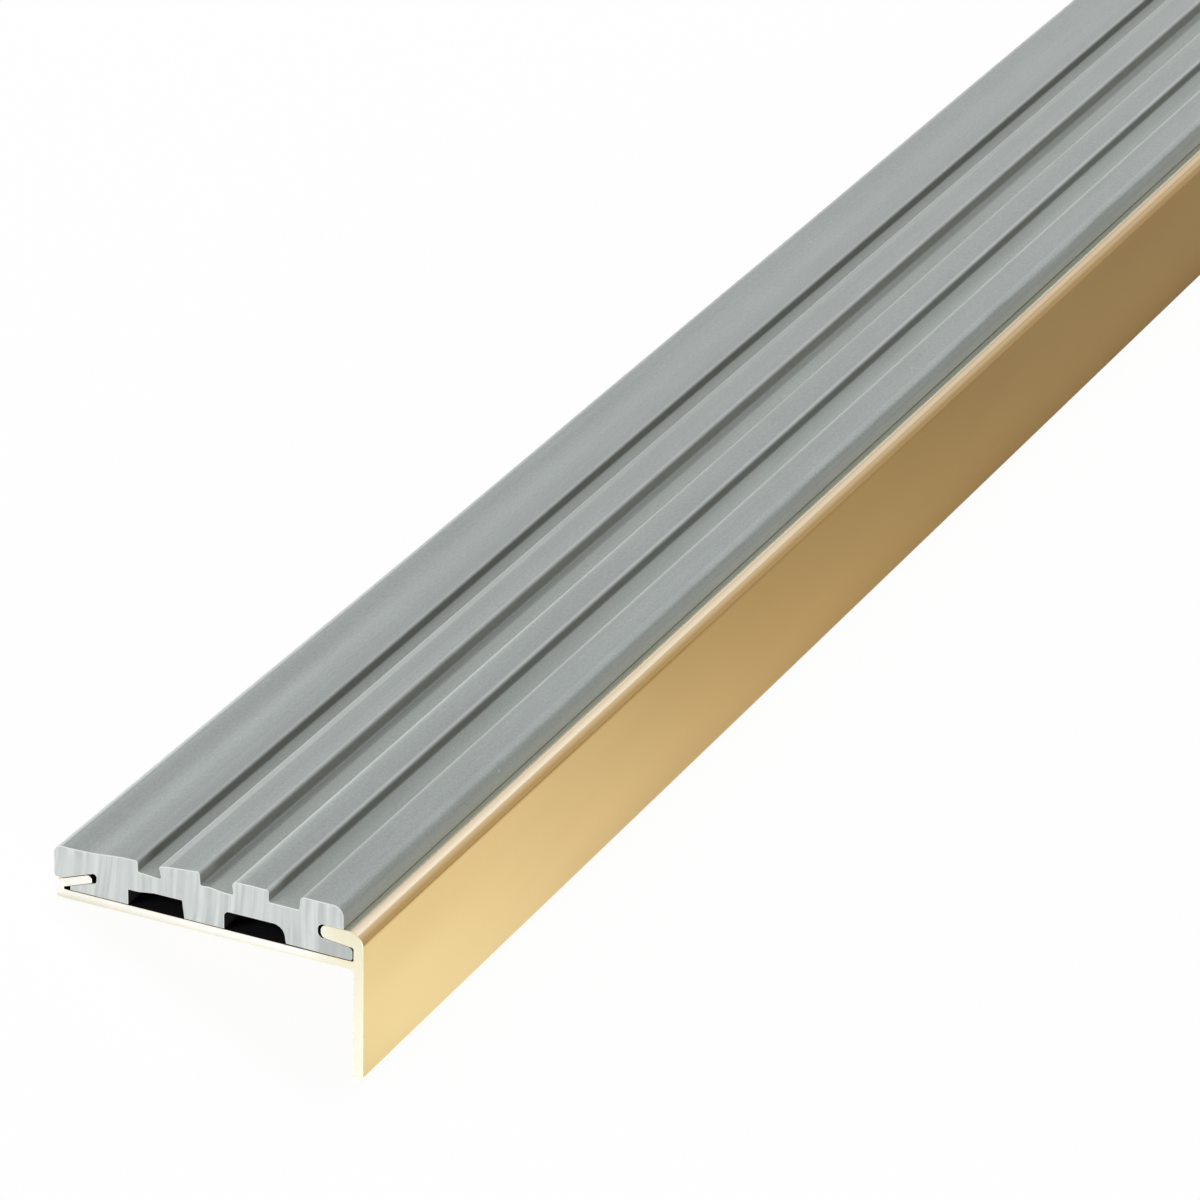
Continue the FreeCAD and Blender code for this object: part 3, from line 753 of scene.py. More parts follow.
@dataclass(frozen=True)
class Finishes:
    """All finishes of the nosing, built once."""

    gold: bpy.types.Material
    cut_aluminium: bpy.types.Material
    vinyl: bpy.types.Material
    cut_vinyl: bpy.types.Material
    recess_shade: bpy.types.Material

    @classmethod
    def make(cls) -> "Finishes":
        """Builds the five finishes."""
        kinds = (GoldAnodising(), CutAluminium(), VinylSkin(), CutVinyl(), PaintedRecessShade())
        return cls(*(kind.material() for kind in kinds))


# ---------------------------------------------------------------- sections


@dataclass(frozen=True)
class Corner:
    """One corner of a section, walked clockwise with across to the right and up upward.

    A side that follows may bulge outward (crown above zero) or inward (crown below zero), with that
    radius. Other numbers are millimetres too, except the last, the share of scuffing and painted highlight on a convex
    corner.
    """

    across: float
    up: float
    rounding: float = 0.0
    crown: float = 0.0
    worn: float = 0.7

    @property
    def place(self) -> Vector:
        """Across and up as one vector."""
        return Vector((self.across, self.up))


@dataclass
class OutlinePoint:
    """One point of a finished outline, with its share of scuffing and painted highlight."""

    place: Vector
    scuff_and_highlight: float = 0.0


@dataclass(frozen=True)
class Recess:
    """A box of the section, across and up, whose faces get the near-black painted shade."""

    across: Span
    up: Span

    def holds(self, across: float, up: float) -> bool:
        """Whether a place lies in the box."""
        return self.across[0] < across < self.across[1] and self.up[0] < up < self.up[1]


def left_of(way: Vector) -> Vector:
    """A direction of the section turned a quarter to its left, which is outward on a clockwise walk."""
    return Vector((-way.y, way.x))


def clamped(value: float) -> float:
    """A number cut off at zero and at one."""
    return min(1.0, max(0.0, value))


class Outline:
    """Closed outline of a section, with rounded corners and narrow strips that keep flats flat."""

    HOLD = 0.06
    SHARP_HOLD = 0.20
    HOLD_ROOM = 1.3
    HOLD_SCUFF_AND_HIGHLIGHT = 0.6
    FEATHER = 0.40
    FEATHER_ROOM = 2.6
    TURN_STEP = math.radians(13.0)
    LEAST_STEPS = 3
    WIDE_RADIUS = 1.2
    WIDE_STEPS = 1.5
    SHARP_TURN = math.radians(20.0)
    CROWN_RUNS = 6
    LEAST_MITRE = 0.35

    def __init__(self, corners: Iterable[Corner]) -> None:
        """Rounds a section's corners, given in order, and spaces the points."""
        self.points = self._strips(self._rounded(self._bent(list(corners))))

    def _bent(self, corners: list[Corner]) -> list[Corner]:
        """Breaks each bulging side into short straight runs."""
        result = []
        for corner, after in zip(corners, corners[1:] + corners[:1]):
            result.append(corner)
            if not corner.crown:
                continue
            start, end = corner.place, after.place
            chord, radius = end - start, abs(corner.crown)
            outward = left_of(chord).normalized() * math.copysign(1.0, corner.crown)
            centre = (start + end) / 2 - outward * math.sqrt(radius ** 2 - (chord.length / 2) ** 2)
            for step in range(1, self.CROWN_RUNS):
                spoke = start.lerp(end, step / self.CROWN_RUNS) - centre
                place = centre + spoke.normalized() * radius
                result.append(Corner(place.x, place.y))
        return result

    def _rounded(self, corners: list[Corner]) -> list[list[OutlinePoint]]:
        """Turns each corner into a sharp point or an arc of points."""
        result = []
        for index, corner in enumerate(corners):
            here = corner.place
            arrive = (here - corners[index - 1].place).normalized()
            leave = (corners[(index + 1) % len(corners)].place - here).normalized()
            turn = math.atan2(arrive.x * leave.y - arrive.y * leave.x, arrive.dot(leave))
            scuff_and_highlight = corner.worn * float(turn < -self.SHARP_TURN)
            if not corner.rounding:
                result.append([OutlinePoint(here, scuff_and_highlight)])
                continue
            reach = corner.rounding * math.tan(abs(turn) / 2)
            side = left_of(arrive) * math.copysign(1.0, turn)
            centre = here - arrive * reach + side * corner.rounding
            finer = self.WIDE_STEPS if corner.rounding > self.WIDE_RADIUS else 1.0
            steps = max(self.LEAST_STEPS, math.ceil(abs(turn) / self.TURN_STEP * finer))
            spoke = here - arrive * reach - centre
            result.append([OutlinePoint(centre + Matrix.Rotation(turn * step / steps, 2) @ spoke, scuff_and_highlight)
                           for step in range(steps + 1)])
        return result

    def _strips(self, arcs: list[list[OutlinePoint]]) -> list[OutlinePoint]:
        """Adds the points near each corner that keep the flats flat and fade its scuffing and painted highlight."""
        result = []
        for arc, after in zip(arcs, arcs[1:] + arcs[:1]):
            result.extend(arc)
            start, end = arc[-1], after[0]
            gap = (end.place - start.place).length
            spots = []
            start_hold, end_hold = (self.HOLD if len(run) > 1 else self.SHARP_HOLD for run in (arc, after))
            if gap > self.HOLD_ROOM * (start_hold + end_hold):
                spots += [(start_hold, start, self.HOLD_SCUFF_AND_HIGHLIGHT), (gap - end_hold, end, self.HOLD_SCUFF_AND_HIGHLIGHT)]
            if gap > self.FEATHER_ROOM * self.FEATHER:
                spots += [(self.FEATHER, start, 0.0), (gap - self.FEATHER, end, 0.0)]
            for distance, source, share in sorted(spots, key=lambda spot: spot[0]):
                result.append(OutlinePoint(start.place.lerp(end.place, distance / gap), source.scuff_and_highlight * share))
        return result

    def outward(self) -> list[Vector]:
        """Mitred outward direction of each point, for an even inset."""
        places = [point.place for point in self.points]
        result = []
        for index, here in enumerate(places):
            first = left_of((here - places[index - 1]).normalized())
            second = left_of((places[(index + 1) % len(places)] - here).normalized())
            result.append((first + second) / max(self.LEAST_MITRE, 1.0 + first.dot(second)))
        return result


# ---------------------------------------------------------------- meshes


def new_object(name: str, data: bpy.types.ID) -> bpy.types.Object:
    """Adds a mesh, lamp or camera to the scene as an object at the origin."""
    item = bpy.data.objects.new(name, data)
    bpy.context.scene.collection.objects.link(item)
    return item


def settle(item: bpy.types.Object) -> None:
    """Replaces an object's mesh by its evaluated one and takes its modifiers off."""
    depsgraph = bpy.context.evaluated_depsgraph_get()
    mesh = bpy.data.meshes.new_from_object(item.evaluated_get(depsgraph), preserve_all_data_layers=True,
                                           depsgraph=depsgraph)
    item.modifiers.clear()
    old = item.data
    item.data = mesh
    mesh.name = item.name
    bpy.data.meshes.remove(old)


class GeometryTree:
    """A Geometry Nodes tree with named inputs, of which Finish is the material, and one output."""

    def __init__(self, name: str, inputs: Mapping[str, str], output: str) -> None:
        """Makes the tree with its inputs and its output.

        Args:
            name: The tree's name.
            inputs: Name of each input, with its kind.
            output: Name of the geometry that comes out.
        """
        self.tree = bpy.data.node_groups.new(name, "GeometryNodeTree")
        new_socket = self.tree.interface.new_socket
        self.sockets = {}
        for key, kind in inputs.items():
            self.sockets[key] = new_socket(name=key, in_out="INPUT", socket_type=f"NodeSocket{kind}").identifier
        new_socket(name=output, in_out="OUTPUT", socket_type="NodeSocketGeometry")
        self.wiring = Wiring(self.tree)
        group_input = self.wiring.node("NodeGroupInput")
        self.given = {key: Value(self.wiring, group_input.outputs[key]) for key in inputs}

    def send_out(self, geometry: Value) -> None:
        """Makes the geometry real, gives it its material and lets it out."""
        real = self.wiring.get("GeometryNodeRealizeInstances", 0, {}, {"Geometry": geometry})
        dress = {"Geometry": real, "Material": self.given["Finish"]}
        self.wiring.node("NodeGroupOutput", {}, {0: self.wiring.get("GeometryNodeSetMaterial", 0, {}, dress)})

    def run(self, item: bpy.types.Object, values: Mapping[str, Any]) -> None:
        """Runs the tree on an object's mesh and turns the result into its plain mesh.

        Args:
            item: The object.
            values: Value of each named input.
        """
        modifier = item.modifiers.new(self.tree.name, "NODES")
        modifier.node_group = self.tree
        for name, value in values.items():
            modifier[self.sockets[name]] = value
        settle(item)


class SweepTree(GeometryTree):
    """Carries an outline along the length and eases its cut ends.

    The outline's points give the place of the section in the frame. The attribute outward is the way
    that the ends are drawn in, loose is how far soft stock may wander from true, and flap is how far
    it sits in between its cut ends, where it flares.
    """

    INPUTS = {"Outline": "Geometry", "Length": "Float", "Steps": "Int", "End Chamfer": "Float", "Wander": "Float",
              "Wander Run": "Float", "Seed": "Float", "Flare": "Float", "Flare Run": "Float", "Finish": "Material"}
    SECTION_GRAIN = 6.0
    DRIFT_ROUGHNESS = 0.3
    RISING_SHARE = 0.4

    def __init__(self) -> None:
        """Builds the tree."""
        super().__init__("section_along_length", self.INPUTS, "Piece")
        swept = self.swept()
        moved = self.wiring.get("GeometryNodeSetPosition", 0, {}, {"Geometry": swept, "Position": self.position()})
        self.send_out(moved)

    def stored(self, geometry: Value, name: str, kind: str, value: Value) -> Value:
        """A geometry with a number or vector stored on its points."""
        return self.wiring.get("GeometryNodeStoreNamedAttribute", 0, {"data_type": kind, "domain": "POINT"},
                               {"Geometry": geometry, "Name": name, "Value": value})

    def carried(self, name: str, kind: str) -> Value:
        """An attribute that the sweep carries onto the mesh."""
        return self.wiring.get("GeometryNodeInputNamedAttribute", "Attribute", {"data_type": kind}, {"Name": name})

    def swept(self) -> Value:
        """The outline on a rail with even stations, of which the second and last but one ease the ends."""
        w, length, steps, chamfer = self.wiring, *(self.given[name] for name in ("Length", "Steps", "End Chamfer"))
        outline = self.stored(self.given["Outline"], "place", "FLOAT_VECTOR", w.get("GeometryNodeInputPosition"))
        profile = w.get("GeometryNodeMeshToCurve", 0, {}, {"Mesh": outline})
        line = w.get("GeometryNodeCurvePrimitiveLine", 0, {}, {"Start": (0.0, 0.0, 0.0), "End": (1.0, 0.0, 0.0)})
        rail = w.get("GeometryNodeResampleCurve", 0, {"mode": "COUNT"}, {"Curve": line, "Count": steps + 1})
        index = w.get("GeometryNodeInputIndex")
        even = index / steps * length - length * 0.5
        inset = length * 0.5 - chamfer
        second = w.within(index, (0.5, 1.5))
        last_but_one = w.within(index, (steps - 1.5, steps - 0.5))
        station = even + second * (0.0 - inset - even) + last_but_one * (inset - even)
        rail = self.stored(rail, "station", "FLOAT", station)
        return w.get("GeometryNodeCurveToMesh", 0, {}, {"Curve": rail, "Profile Curve": profile, "Fill Caps": True})

    def position(self) -> Value:
        """Where each point goes: its true place, drawn in at the cut ends, with wander and flare."""
        w, given = self.wiring, self.given
        length, chamfer, run = given["Length"], given["End Chamfer"], given["Wander Run"]
        at = self.carried("station", "FLOAT")
        _, across, up = w.separate(self.carried("place", "FLOAT_VECTOR"))
        draw = 0.0 - (abs(at) > length * 0.5 - chamfer * 0.5) * chamfer
        drawn_in = w.vector_math("MULTIPLY", self.carried("outward", "FLOAT_VECTOR"), w.combine(0.0, draw, draw))
        spot = w.combine(at / run, across / run * self.SECTION_GRAIN, up / run * self.SECTION_GRAIN)
        drift = Pattern((1.0, 1.0, 1.0), 1.0, self.DRIFT_ROUGHNESS, given["Seed"]).on(w, spot, "Color")
        reach = self.carried("loose", "FLOAT") * given["Wander"] * 2.0
        drift = w.vector_math("MULTIPLY", w.vector_math("SUBTRACT", drift, (0.5, 0.5, 0.5)),
                              w.combine(0.0, reach, reach * self.RISING_SHARE))
        inner = w.fade(abs(at), (length * 0.5 - given["Flare Run"], length * 0.5 - chamfer))
        pull = self.carried("flap", "FLOAT") * given["Flare"] * inner
        _, ahead, rise = LIE.turned(0.0, -1.0, 0.0)
        drift = w.vector_math("ADD", drift, w.combine(0.0, pull * ahead, pull * rise))
        return w.vector_math("ADD", w.vector_math("ADD", w.combine(at, across, up), drawn_in), drift)


class ScrewRowsTree(GeometryTree):
    """Repeats one screw hole's cutter in two staggered rows."""

    INPUTS = {"Cutter": "Geometry", "Holes Per Row": "Int", "First Hole": "Vector", "Pitch": "Vector",
              "Row Shift": "Vector", "Finish": "Material"}

    def __init__(self) -> None:
        """Builds the tree."""
        super().__init__("staggered_screw_rows", self.INPUTS, "Cutters")
        w, given = self.wiring, self.given
        both = w.node("GeometryNodeJoinGeometry")
        for start in (given["First Hole"], w.vector_math("ADD", given["First Hole"], given["Row Shift"])):
            line = {"Count": given["Holes Per Row"], "Start Location": start, "Offset": given["Pitch"]}
            points = w.get("GeometryNodeMeshLine", 0, {"mode": "OFFSET"}, line)
            row = w.get("GeometryNodeInstanceOnPoints", 0, {}, {"Points": points, "Instance": given["Cutter"]})
            self.tree.links.new(row.socket, both.inputs[0])
        self.send_out(Value(w, both.outputs[0]))


def nowhere(place: Vector) -> float:
    """None at any place of a section."""
    return 0.0


def outline_object(name: str, outline: Outline, loose: Callable[[Vector], float] = nowhere,
                   depth: Callable[[Vector], float] = nowhere,
                   flap: Callable[[Vector], float] = nowhere) -> bpy.types.Object:
    """Makes an object whose mesh is the outline, in the frame, with its point attributes.

    Args:
        name: The object's name.
        outline: The outline.
        loose: How far a place of the section may wander, from zero to one.
        depth: How deep a place lies in a groove, from zero to one.
        flap: How far a place sits in between the cut ends, from zero to one.

    Returns:
        The object.
    """
    upright = 0.85
    places = [point.place for point in outline.points]
    ways = outline.outward()
    count = len(places)
    mesh = bpy.data.meshes.new(name)
    mesh.from_pydata([LIE.point(0.0, *place) for place in places],
                     [(index, (index + 1) % count) for index in range(count)], [])
    outward = mesh.attributes.new("outward", "FLOAT_VECTOR", "POINT")
    for item, way in zip(outward.data, ways):
        item.vector = LIE.turned(0.0, *way)
    free = [loose(place) for place in places]
    numbers = {
        "loose": free,
        "depth": [depth(place) for place in places],
        "flap": [flap(place) for place in places],
        "scuff_and_highlight": [point.scuff_and_highlight * share for point, share in zip(outline.points, free)],
        "wall": [float(abs(way.x) > upright) * share for way, share in zip(ways, free)],
    }
    for attribute_name, values in numbers.items():
        attribute = mesh.attributes.new(attribute_name, "FLOAT", "POINT")
        attribute.data.foreach_set("value", values)
    return new_object(name, mesh)


def face_outward(mesh: bpy.types.Mesh, sharp_degrees: float = 24.0) -> None:
    """Turns every face of a closed mesh the same way, outward, and smooths its rounded parts."""
    volume = sum(mesh.vertices[face.vertices[0]].co.dot(face.normal) * face.area for face in mesh.polygons)
    if volume < 0:
        mesh.flip_normals()
    mesh.shade_smooth()
    mesh.set_sharp_from_angle(angle=math.radians(sharp_degrees))


def dress_faces(mesh: bpy.types.Mesh, half: float, ease: float, cut: bpy.types.Material,
                recess_shade: bpy.types.Material, recesses: Iterable[Recess]) -> None:
    """Gives the cut ends their own finish, and the deep recesses the near-black painted shade.

    Args:
        mesh: The finished mesh.
        half: Half the length.
        ease: Chamfer of the cut ends.
        cut: Finish of the cut ends.
        recess_shade: Near-black painted shade of the recesses.
        recesses: Where the recesses are.
    """
    for material in (cut, recess_shade):
        if material.name not in mesh.materials:
            mesh.materials.append(material)
    cut_place, recess_place = (list(mesh.materials).index(material) for material in (cut, recess_shade))
    for face in mesh.polygons:
        along, across, up = LIE.installed(face.center)
        if abs(along) > half - ease:
            face.material_index = cut_place
        elif face.material_index == 0 and any(box.holds(across, up) for box in recesses):
            face.material_index = recess_place


# ---------------------------------------------------------------- the two pieces


@dataclass
class NosingExtrusion:
    """Aluminium extrusion: screwed plate, leg over the riser, lip and barb that hold the insert."""

    node: str = "nosing_extrusion"
    length: float = 900.0
    width: float = 50.0
    leg_depth: float = 17.8
    leg_thickness: float = 1.6
    plate_thickness: float = 1.4
    nose_height: float = 6.2
    nose_radius: float = 2.3
    lip_reach: float = 5.25
    lip_root_thickness: float = 2.6
    lip_tip_thickness: float = 2.1
    lip_tip_radius: float = 0.945
    pocket_radius: float = 0.25
    rear_wall_thickness: float = 1.2
    rear_wall_height: float = 2.75
    shoulder_radius: float = 0.6
    barb_reach: float = 5.85
    barb_angle: float = 20.0
    barb_thickness: float = 1.3
    barb_tip_radius: float = 0.65
    barb_heel_radius: float = 0.2
    bead_height: float = 4.7
    bead_ramp: float = 0.5
    bead_proud: float = 0.2
    foot_radius: float = 0.8
    rest_radius: float = 0.3
    inside_radius: float = 0.6
    hole_diameter: float = 4.5
    countersink_diameter: float = 6.1
    hole_margin: float = 47.5
    holes_per_row: int = 4
    hole_overrun: float = 0.6
    hole_facets: int = 48
    end_chamfer: float = 0.08
    recess_slack: float = 0.02
    steps: int = 12

    @property
    def plate_top(self) -> float:
        """Top of the plate above the foot."""
        return self.leg_depth + self.plate_thickness

    @property
    def lip_top(self) -> float:
        """Top of the lip above the foot."""
        return self.leg_depth + self.nose_height

    @property
    def lip_tip(self) -> float:
        """Tip of the lip behind the leg's outer face."""
        return self.leg_thickness + self.lip_reach

    @property
    def barb_tip(self) -> float:
        """Tip of the barb behind the leg's outer face."""
        return self.width - self.barb_reach

    def lip_underside(self, across: float) -> float:
        """Height of the lip's sloping underside."""
        slope = (self.lip_root_thickness - self.lip_tip_thickness) / self.lip_reach
        return self.lip_top - self.lip_root_thickness + (across - self.leg_thickness) * slope

    def barb_top(self, across: float) -> float:
        """Height of the barb's upper face."""
        rise = math.tan(math.radians(self.barb_angle))
        return self.leg_depth + self.rear_wall_height + (self.width - across) * rise

    def barb_underside(self, across: float) -> float:
        """Height of the barb's lower face."""
        return self.barb_top(across) - self.barb_thickness / math.cos(math.radians(self.barb_angle))

    def corners(self, breaks: Iterable[float]) -> list[Corner]:
        """Corners of the section.

        Args:
            breaks: Places on the plate's top where a screw channel starts or ends.

        Returns:
            The corners, walked clockwise from the foot.
        """
        wall, notch, tip, barb = self.leg_thickness, self.width - self.rear_wall_thickness, self.lip_tip, self.barb_tip
        return [
            Corner(0.0, 0.0, self.foot_radius),
            Corner(0.0, self.lip_top, self.nose_radius),
            Corner(tip, self.lip_top, self.lip_tip_radius),
            Corner(tip, self.lip_underside(tip), self.lip_tip_radius),
            Corner(wall, self.lip_underside(wall), self.pocket_radius),
            Corner(wall, self.plate_top, self.pocket_radius),
            *(Corner(across, self.plate_top) for across in breaks),
            Corner(notch, self.plate_top),
            Corner(notch, self.barb_underside(notch)),
            Corner(barb, self.barb_underside(barb), self.barb_heel_radius),
            Corner(barb, self.barb_top(barb), self.barb_tip_radius),
            Corner(self.width, self.leg_depth + self.rear_wall_height, self.shoulder_radius),
            Corner(self.width, self.leg_depth, self.rest_radius),
            Corner(wall, self.leg_depth, self.inside_radius),
            Corner(wall, self.bead_height),
            Corner(wall + self.bead_proud, self.bead_height - self.bead_ramp),
            Corner(wall, 0.0, self.rest_radius),
        ]

    def cutter(self, across: float) -> bpy.types.Object:
        """Makes the cutter of one countersunk hole in the middle of the length.

        Args:
            across: Place of the hole behind the leg's outer face.

        Returns:
            The cutter.
        """
        narrow, wide = self.hole_diameter / 2, self.countersink_diameter / 2
        sink = wide - narrow
        rings = [(self.leg_depth - self.hole_overrun, narrow), (self.plate_top - sink, narrow),
                 (self.plate_top + self.hole_overrun, wide + self.hole_overrun)]
        count = self.hole_facets
        angles = [math.tau * facet / count for facet in range(count)]
        places = [LIE.point(radius * math.cos(angle), across + radius * math.sin(angle), up)
                  for up, radius in rings for angle in angles]
        last = (len(rings) - 1) * count
        faces = [(low + facet, low + (facet + 1) % count, low + count + (facet + 1) % count, low + count + facet)
                 for low in range(0, last, count) for facet in range(count)]
        faces += [tuple(reversed(range(count))), tuple(range(last, last + count))]
        mesh = bpy.data.meshes.new("screw_cutter")
        mesh.from_pydata(places, [], faces)
        return new_object("screw_cutter", mesh)

    def drill(self, item: bpy.types.Object, rows: Span, finishes: Finishes) -> None:
        """Drills the two staggered rows of screw holes.

        Args:
            item: The extrusion.
            rows: Place of each row behind the leg's outer face.
            finishes: The finishes.
        """
        step = (self.length - 2 * self.hole_margin) / (2 * self.holes_per_row - 1)
        cutters = self.cutter(rows[0])
        ScrewRowsTree().run(cutters, {
            "Holes Per Row": self.holes_per_row,
            "First Hole": Vector((self.hole_margin - self.length / 2, 0.0, 0.0)) * MM,
            "Pitch": Vector((2 * step, 0.0, 0.0)) * MM,
            "Row Shift": LIE.turned(step, rows[1] - rows[0], 0.0) * MM,
            "Finish": finishes.cut_aluminium,
        })
        modifier = item.modifiers.new("screw_holes", "BOOLEAN")
        modifier.operation = "DIFFERENCE"
        modifier.solver = "EXACT"
        modifier.material_mode = "TRANSFER"
        modifier.object = cutters
        settle(item)
        bpy.data.objects.remove(cutters)

    def build(self, sweep: SweepTree, channels: list[Span], finishes: Finishes) -> bpy.types.Object:
        """Builds the extrusion and hands it to the frame.

        Args:
            sweep: The tree that carries a section along the length.
            channels: Start and end of each screw channel over the plate.
            finishes: The finishes.

        Returns:
            The finished piece.
        """
        breaks = [edge for channel in channels for edge in channel]
        item = outline_object("gold_extrusion", Outline(self.corners(breaks)))
        sweep.run(item, {
            "Length": self.length * MM, "Steps": self.steps, "End Chamfer": self.end_chamfer * MM, "Wander": 0.0,
            "Wander Run": 1.0, "Seed": 0.0, "Flare": 0.0, "Flare Run": 1.0 * MM, "Finish": finishes.gold})
        face_outward(item.data)
        self.drill(item, tuple(sum(channel) / 2 for channel in channels), finishes)
        face_outward(item.data)
        # Painted shade on the plate's top under the screw channels.
        floor = (self.plate_top - self.recess_slack, self.plate_top + self.recess_slack)
        recesses = [Recess(channel, floor) for channel in channels]
        dress_faces(item.data, self.length / 2, self.end_chamfer, finishes.cut_aluminium, finishes.recess_shade, recesses)
        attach(item, BODY)
        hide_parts(self.node)
        LOG.info("%s: %d faces", item.name, len(item.data.polygons))
        return item


@dataclass
class TreadInsert:
    """Grey vinyl insert: four ribs, three grooves, two screw channels and the two gripping slots."""

    carrier: NosingExtrusion
    node: str = "tread_insert"
    snap_clearance: float = 0.1
    wing_gap: float = 0.2
    lip_gap: float = 0.5
    barb_gap: float = 0.75
    rear_overhang: float = 0.4
    rear_flap_height: float = 1.75
    rear_wing_reach: float = 3.65
    foot_gap: float = 0.09
    foot_relief: float = 0.18
    foot_relief_width: float = 7.0
    wing_top_radius: float = 0.8
    wing_bottom_radius: float = 0.4
    slot_end_radius: float = 0.945
    barb_slot_radius: float = 0.5
    rear_wing_radius: float = 0.15
    front_rib_setback: float = 3.2
    front_rib_width: float = 6.8
    front_groove_width: float = 5.12
    second_rib_width: float = 6.03
    middle_groove_width: float = 5.26
    third_rib_width: float = 6.68
    rear_groove_width: float = 3.48
    front_rib_top: float = 8.4
    front_floor: float = 6.2
    second_rib_top: float = 8.1
    second_rib_rear: float = 8.0
    middle_floor: float = 5.92
    middle_floor_crest: float = 6.25
    middle_floor_rear: float = 6.1
    middle_floor_level: float = 1.5
    middle_floor_gutter: float = 1.4
    third_rib_top: float = 8.3
    third_rib_rear: float = 7.65
    rear_floor: float = 5.55
    rear_floor_rear: float = 5.82
    rear_rib_top: float = 7.6
    rear_rib_turn: float = 7.28
    rear_rib_rear: float = 7.03
    rear_rib_crown_width: float = 5.7
    second_rib_crown_radius: float = 42.0
    rear_rib_crown_radius: float = 34.0
    rear_rib_hollow_radius: float = 63.0
    front_groove_draft: float = 0.25
    middle_groove_undercut: float = 0.3
    middle_groove_slant: float = 0.15
    rear_groove_undercut: float = 0.4
    front_rib_radius: float = 1.6
    rib_rear_radius: float = 0.7
    third_rib_rear_radius: float = 0.35
    third_rib_bevel: float = 1.45
    third_rib_bevel_drop: float = 0.12
    third_rib_bevel_radius: float = 0.8
    rib_front_radius: float = 0.38
    groove_radius: float = 0.3
    rear_top_radius: float = 1.3
    rear_flap_radius: float = 0.6
    front_channel_setback: float = 12.5
    front_channel_width: float = 10.0
    middle_foot_width: float = 6.5
    rear_channel_width: float = 9.2
    channel_height: float = 2.95
    rear_channel_ledge_height: float = 2.55
    rear_channel_ledge_width: float = 1.7
    rear_channel_ramp_width: float = 2.5
    channel_lean: float = 0.35
    channel_front_radius: float = 1.9
    channel_rear_radius: float = 0.8
    end_chamfer: float = 0.14
    wander: float = 0.30
    wander_run: float = 150.0
    flare: float = 0.6
    flare_run: float = 150.0
    flare_from: float = 46.4
    flare_across: float = 3.0
    flare_up: float = 4.0
    grip_depth: float = 0.4
    grip_fade: float = 1.2
    groove_edges: Span = (1.0, 0.6)
    groove_start: float = 0.1
    groove_slack: float = 0.6
    recess_slack: float = 0.05
    recess_floor: float = 0.1
    lip_slot_front: float = 0.5
    lip_slot_floor: float = 1.0
    barb_slot_rear: float = 0.4
    barb_slot_up: Span = (0.3, 4.2)
    steps: int = 180
    seed: float = 7.0

    @property
    def front_channel(self) -> Span:
        """Start and end of the front screw channel."""
        return self.front_channel_setback, self.front_channel_setback + self.front_channel_width

    @property
    def rear_channel(self) -> Span:
        """Start and end of the rear screw channel."""
        start = self.front_channel[1] + self.middle_foot_width
        return start, start + self.rear_channel_width

    def above(self, across: float, height: float, *shape: float, **scuff_and_highlight: float) -> Corner:
        """A corner whose height is counted from the plate's top, with its rounding, crown and share of scuffing and
        painted highlight.
        """
        return Corner(across, self.carrier.plate_top + height, *shape, **scuff_and_highlight)

    def tread_corners(self) -> list[Corner]:
        """Corners of the ribs and grooves, from the front rib's foot to the rear edge."""
        groove_1 = self.front_rib_setback + self.front_rib_width
        rib_2 = groove_1 + self.front_groove_width
        groove_2 = rib_2 + self.second_rib_width
        rib_3 = groove_2 + self.middle_groove_width
        groove_3 = rib_3 + self.third_rib_width
        rib_4 = groove_3 + self.rear_groove_width
        floor_2 = groove_2 - self.middle_groove_undercut
        floor_2_rear = rib_3 - self.middle_groove_slant
        foot, back, lead = self.groove_radius, self.rib_rear_radius, self.rib_front_radius
        slope = (self.third_rib_top - self.third_rib_rear) / self.third_rib_width
        bevel_top = self.third_rib_rear + slope * self.third_rib_bevel
        bevel_foot = self.third_rib_rear - self.third_rib_bevel_drop
        return [
            Corner(self.front_rib_setback, self.carrier.lip_top),
            self.above(self.front_rib_setback, self.front_rib_top, self.front_rib_radius, worn=0.0),
            self.above(groove_1, self.front_rib_top, back, worn=0.45),
            self.above(groove_1 + self.front_groove_draft, self.front_floor, foot),
            self.above(rib_2, self.front_floor, foot),
            self.above(rib_2, self.second_rib_top, lead, self.second_rib_crown_radius),
            self.above(groove_2, self.second_rib_rear, back, worn=1.0),
            self.above(floor_2, self.middle_floor, foot),
            self.above(floor_2 + self.middle_floor_level, self.middle_floor),
            self.above(floor_2_rear - self.middle_floor_gutter, self.middle_floor_crest),
            self.above(floor_2_rear, self.middle_floor_rear, foot),
            self.above(rib_3, self.third_rib_top, lead, worn=0.5),
            self.above(groove_3 - self.third_rib_bevel, bevel_top, self.third_rib_bevel_radius),
            self.above(groove_3, bevel_foot, self.third_rib_rear_radius, worn=1.0),
            self.above(groove_3 - self.rear_groove_undercut, self.rear_floor, foot),
            self.above(rib_4, self.rear_floor_rear, foot),
            self.above(rib_4, self.rear_rib_top, lead, self.rear_rib_crown_radius, worn=0.3),
            self.above(rib_4 + self.rear_rib_crown_width, self.rear_rib_turn, 0.0, -self.rear_rib_hollow_radius),
            self.above(self.carrier.width + self.rear_overhang, self.rear_rib_rear, self.rear_top_radius, worn=1.0),
        ]

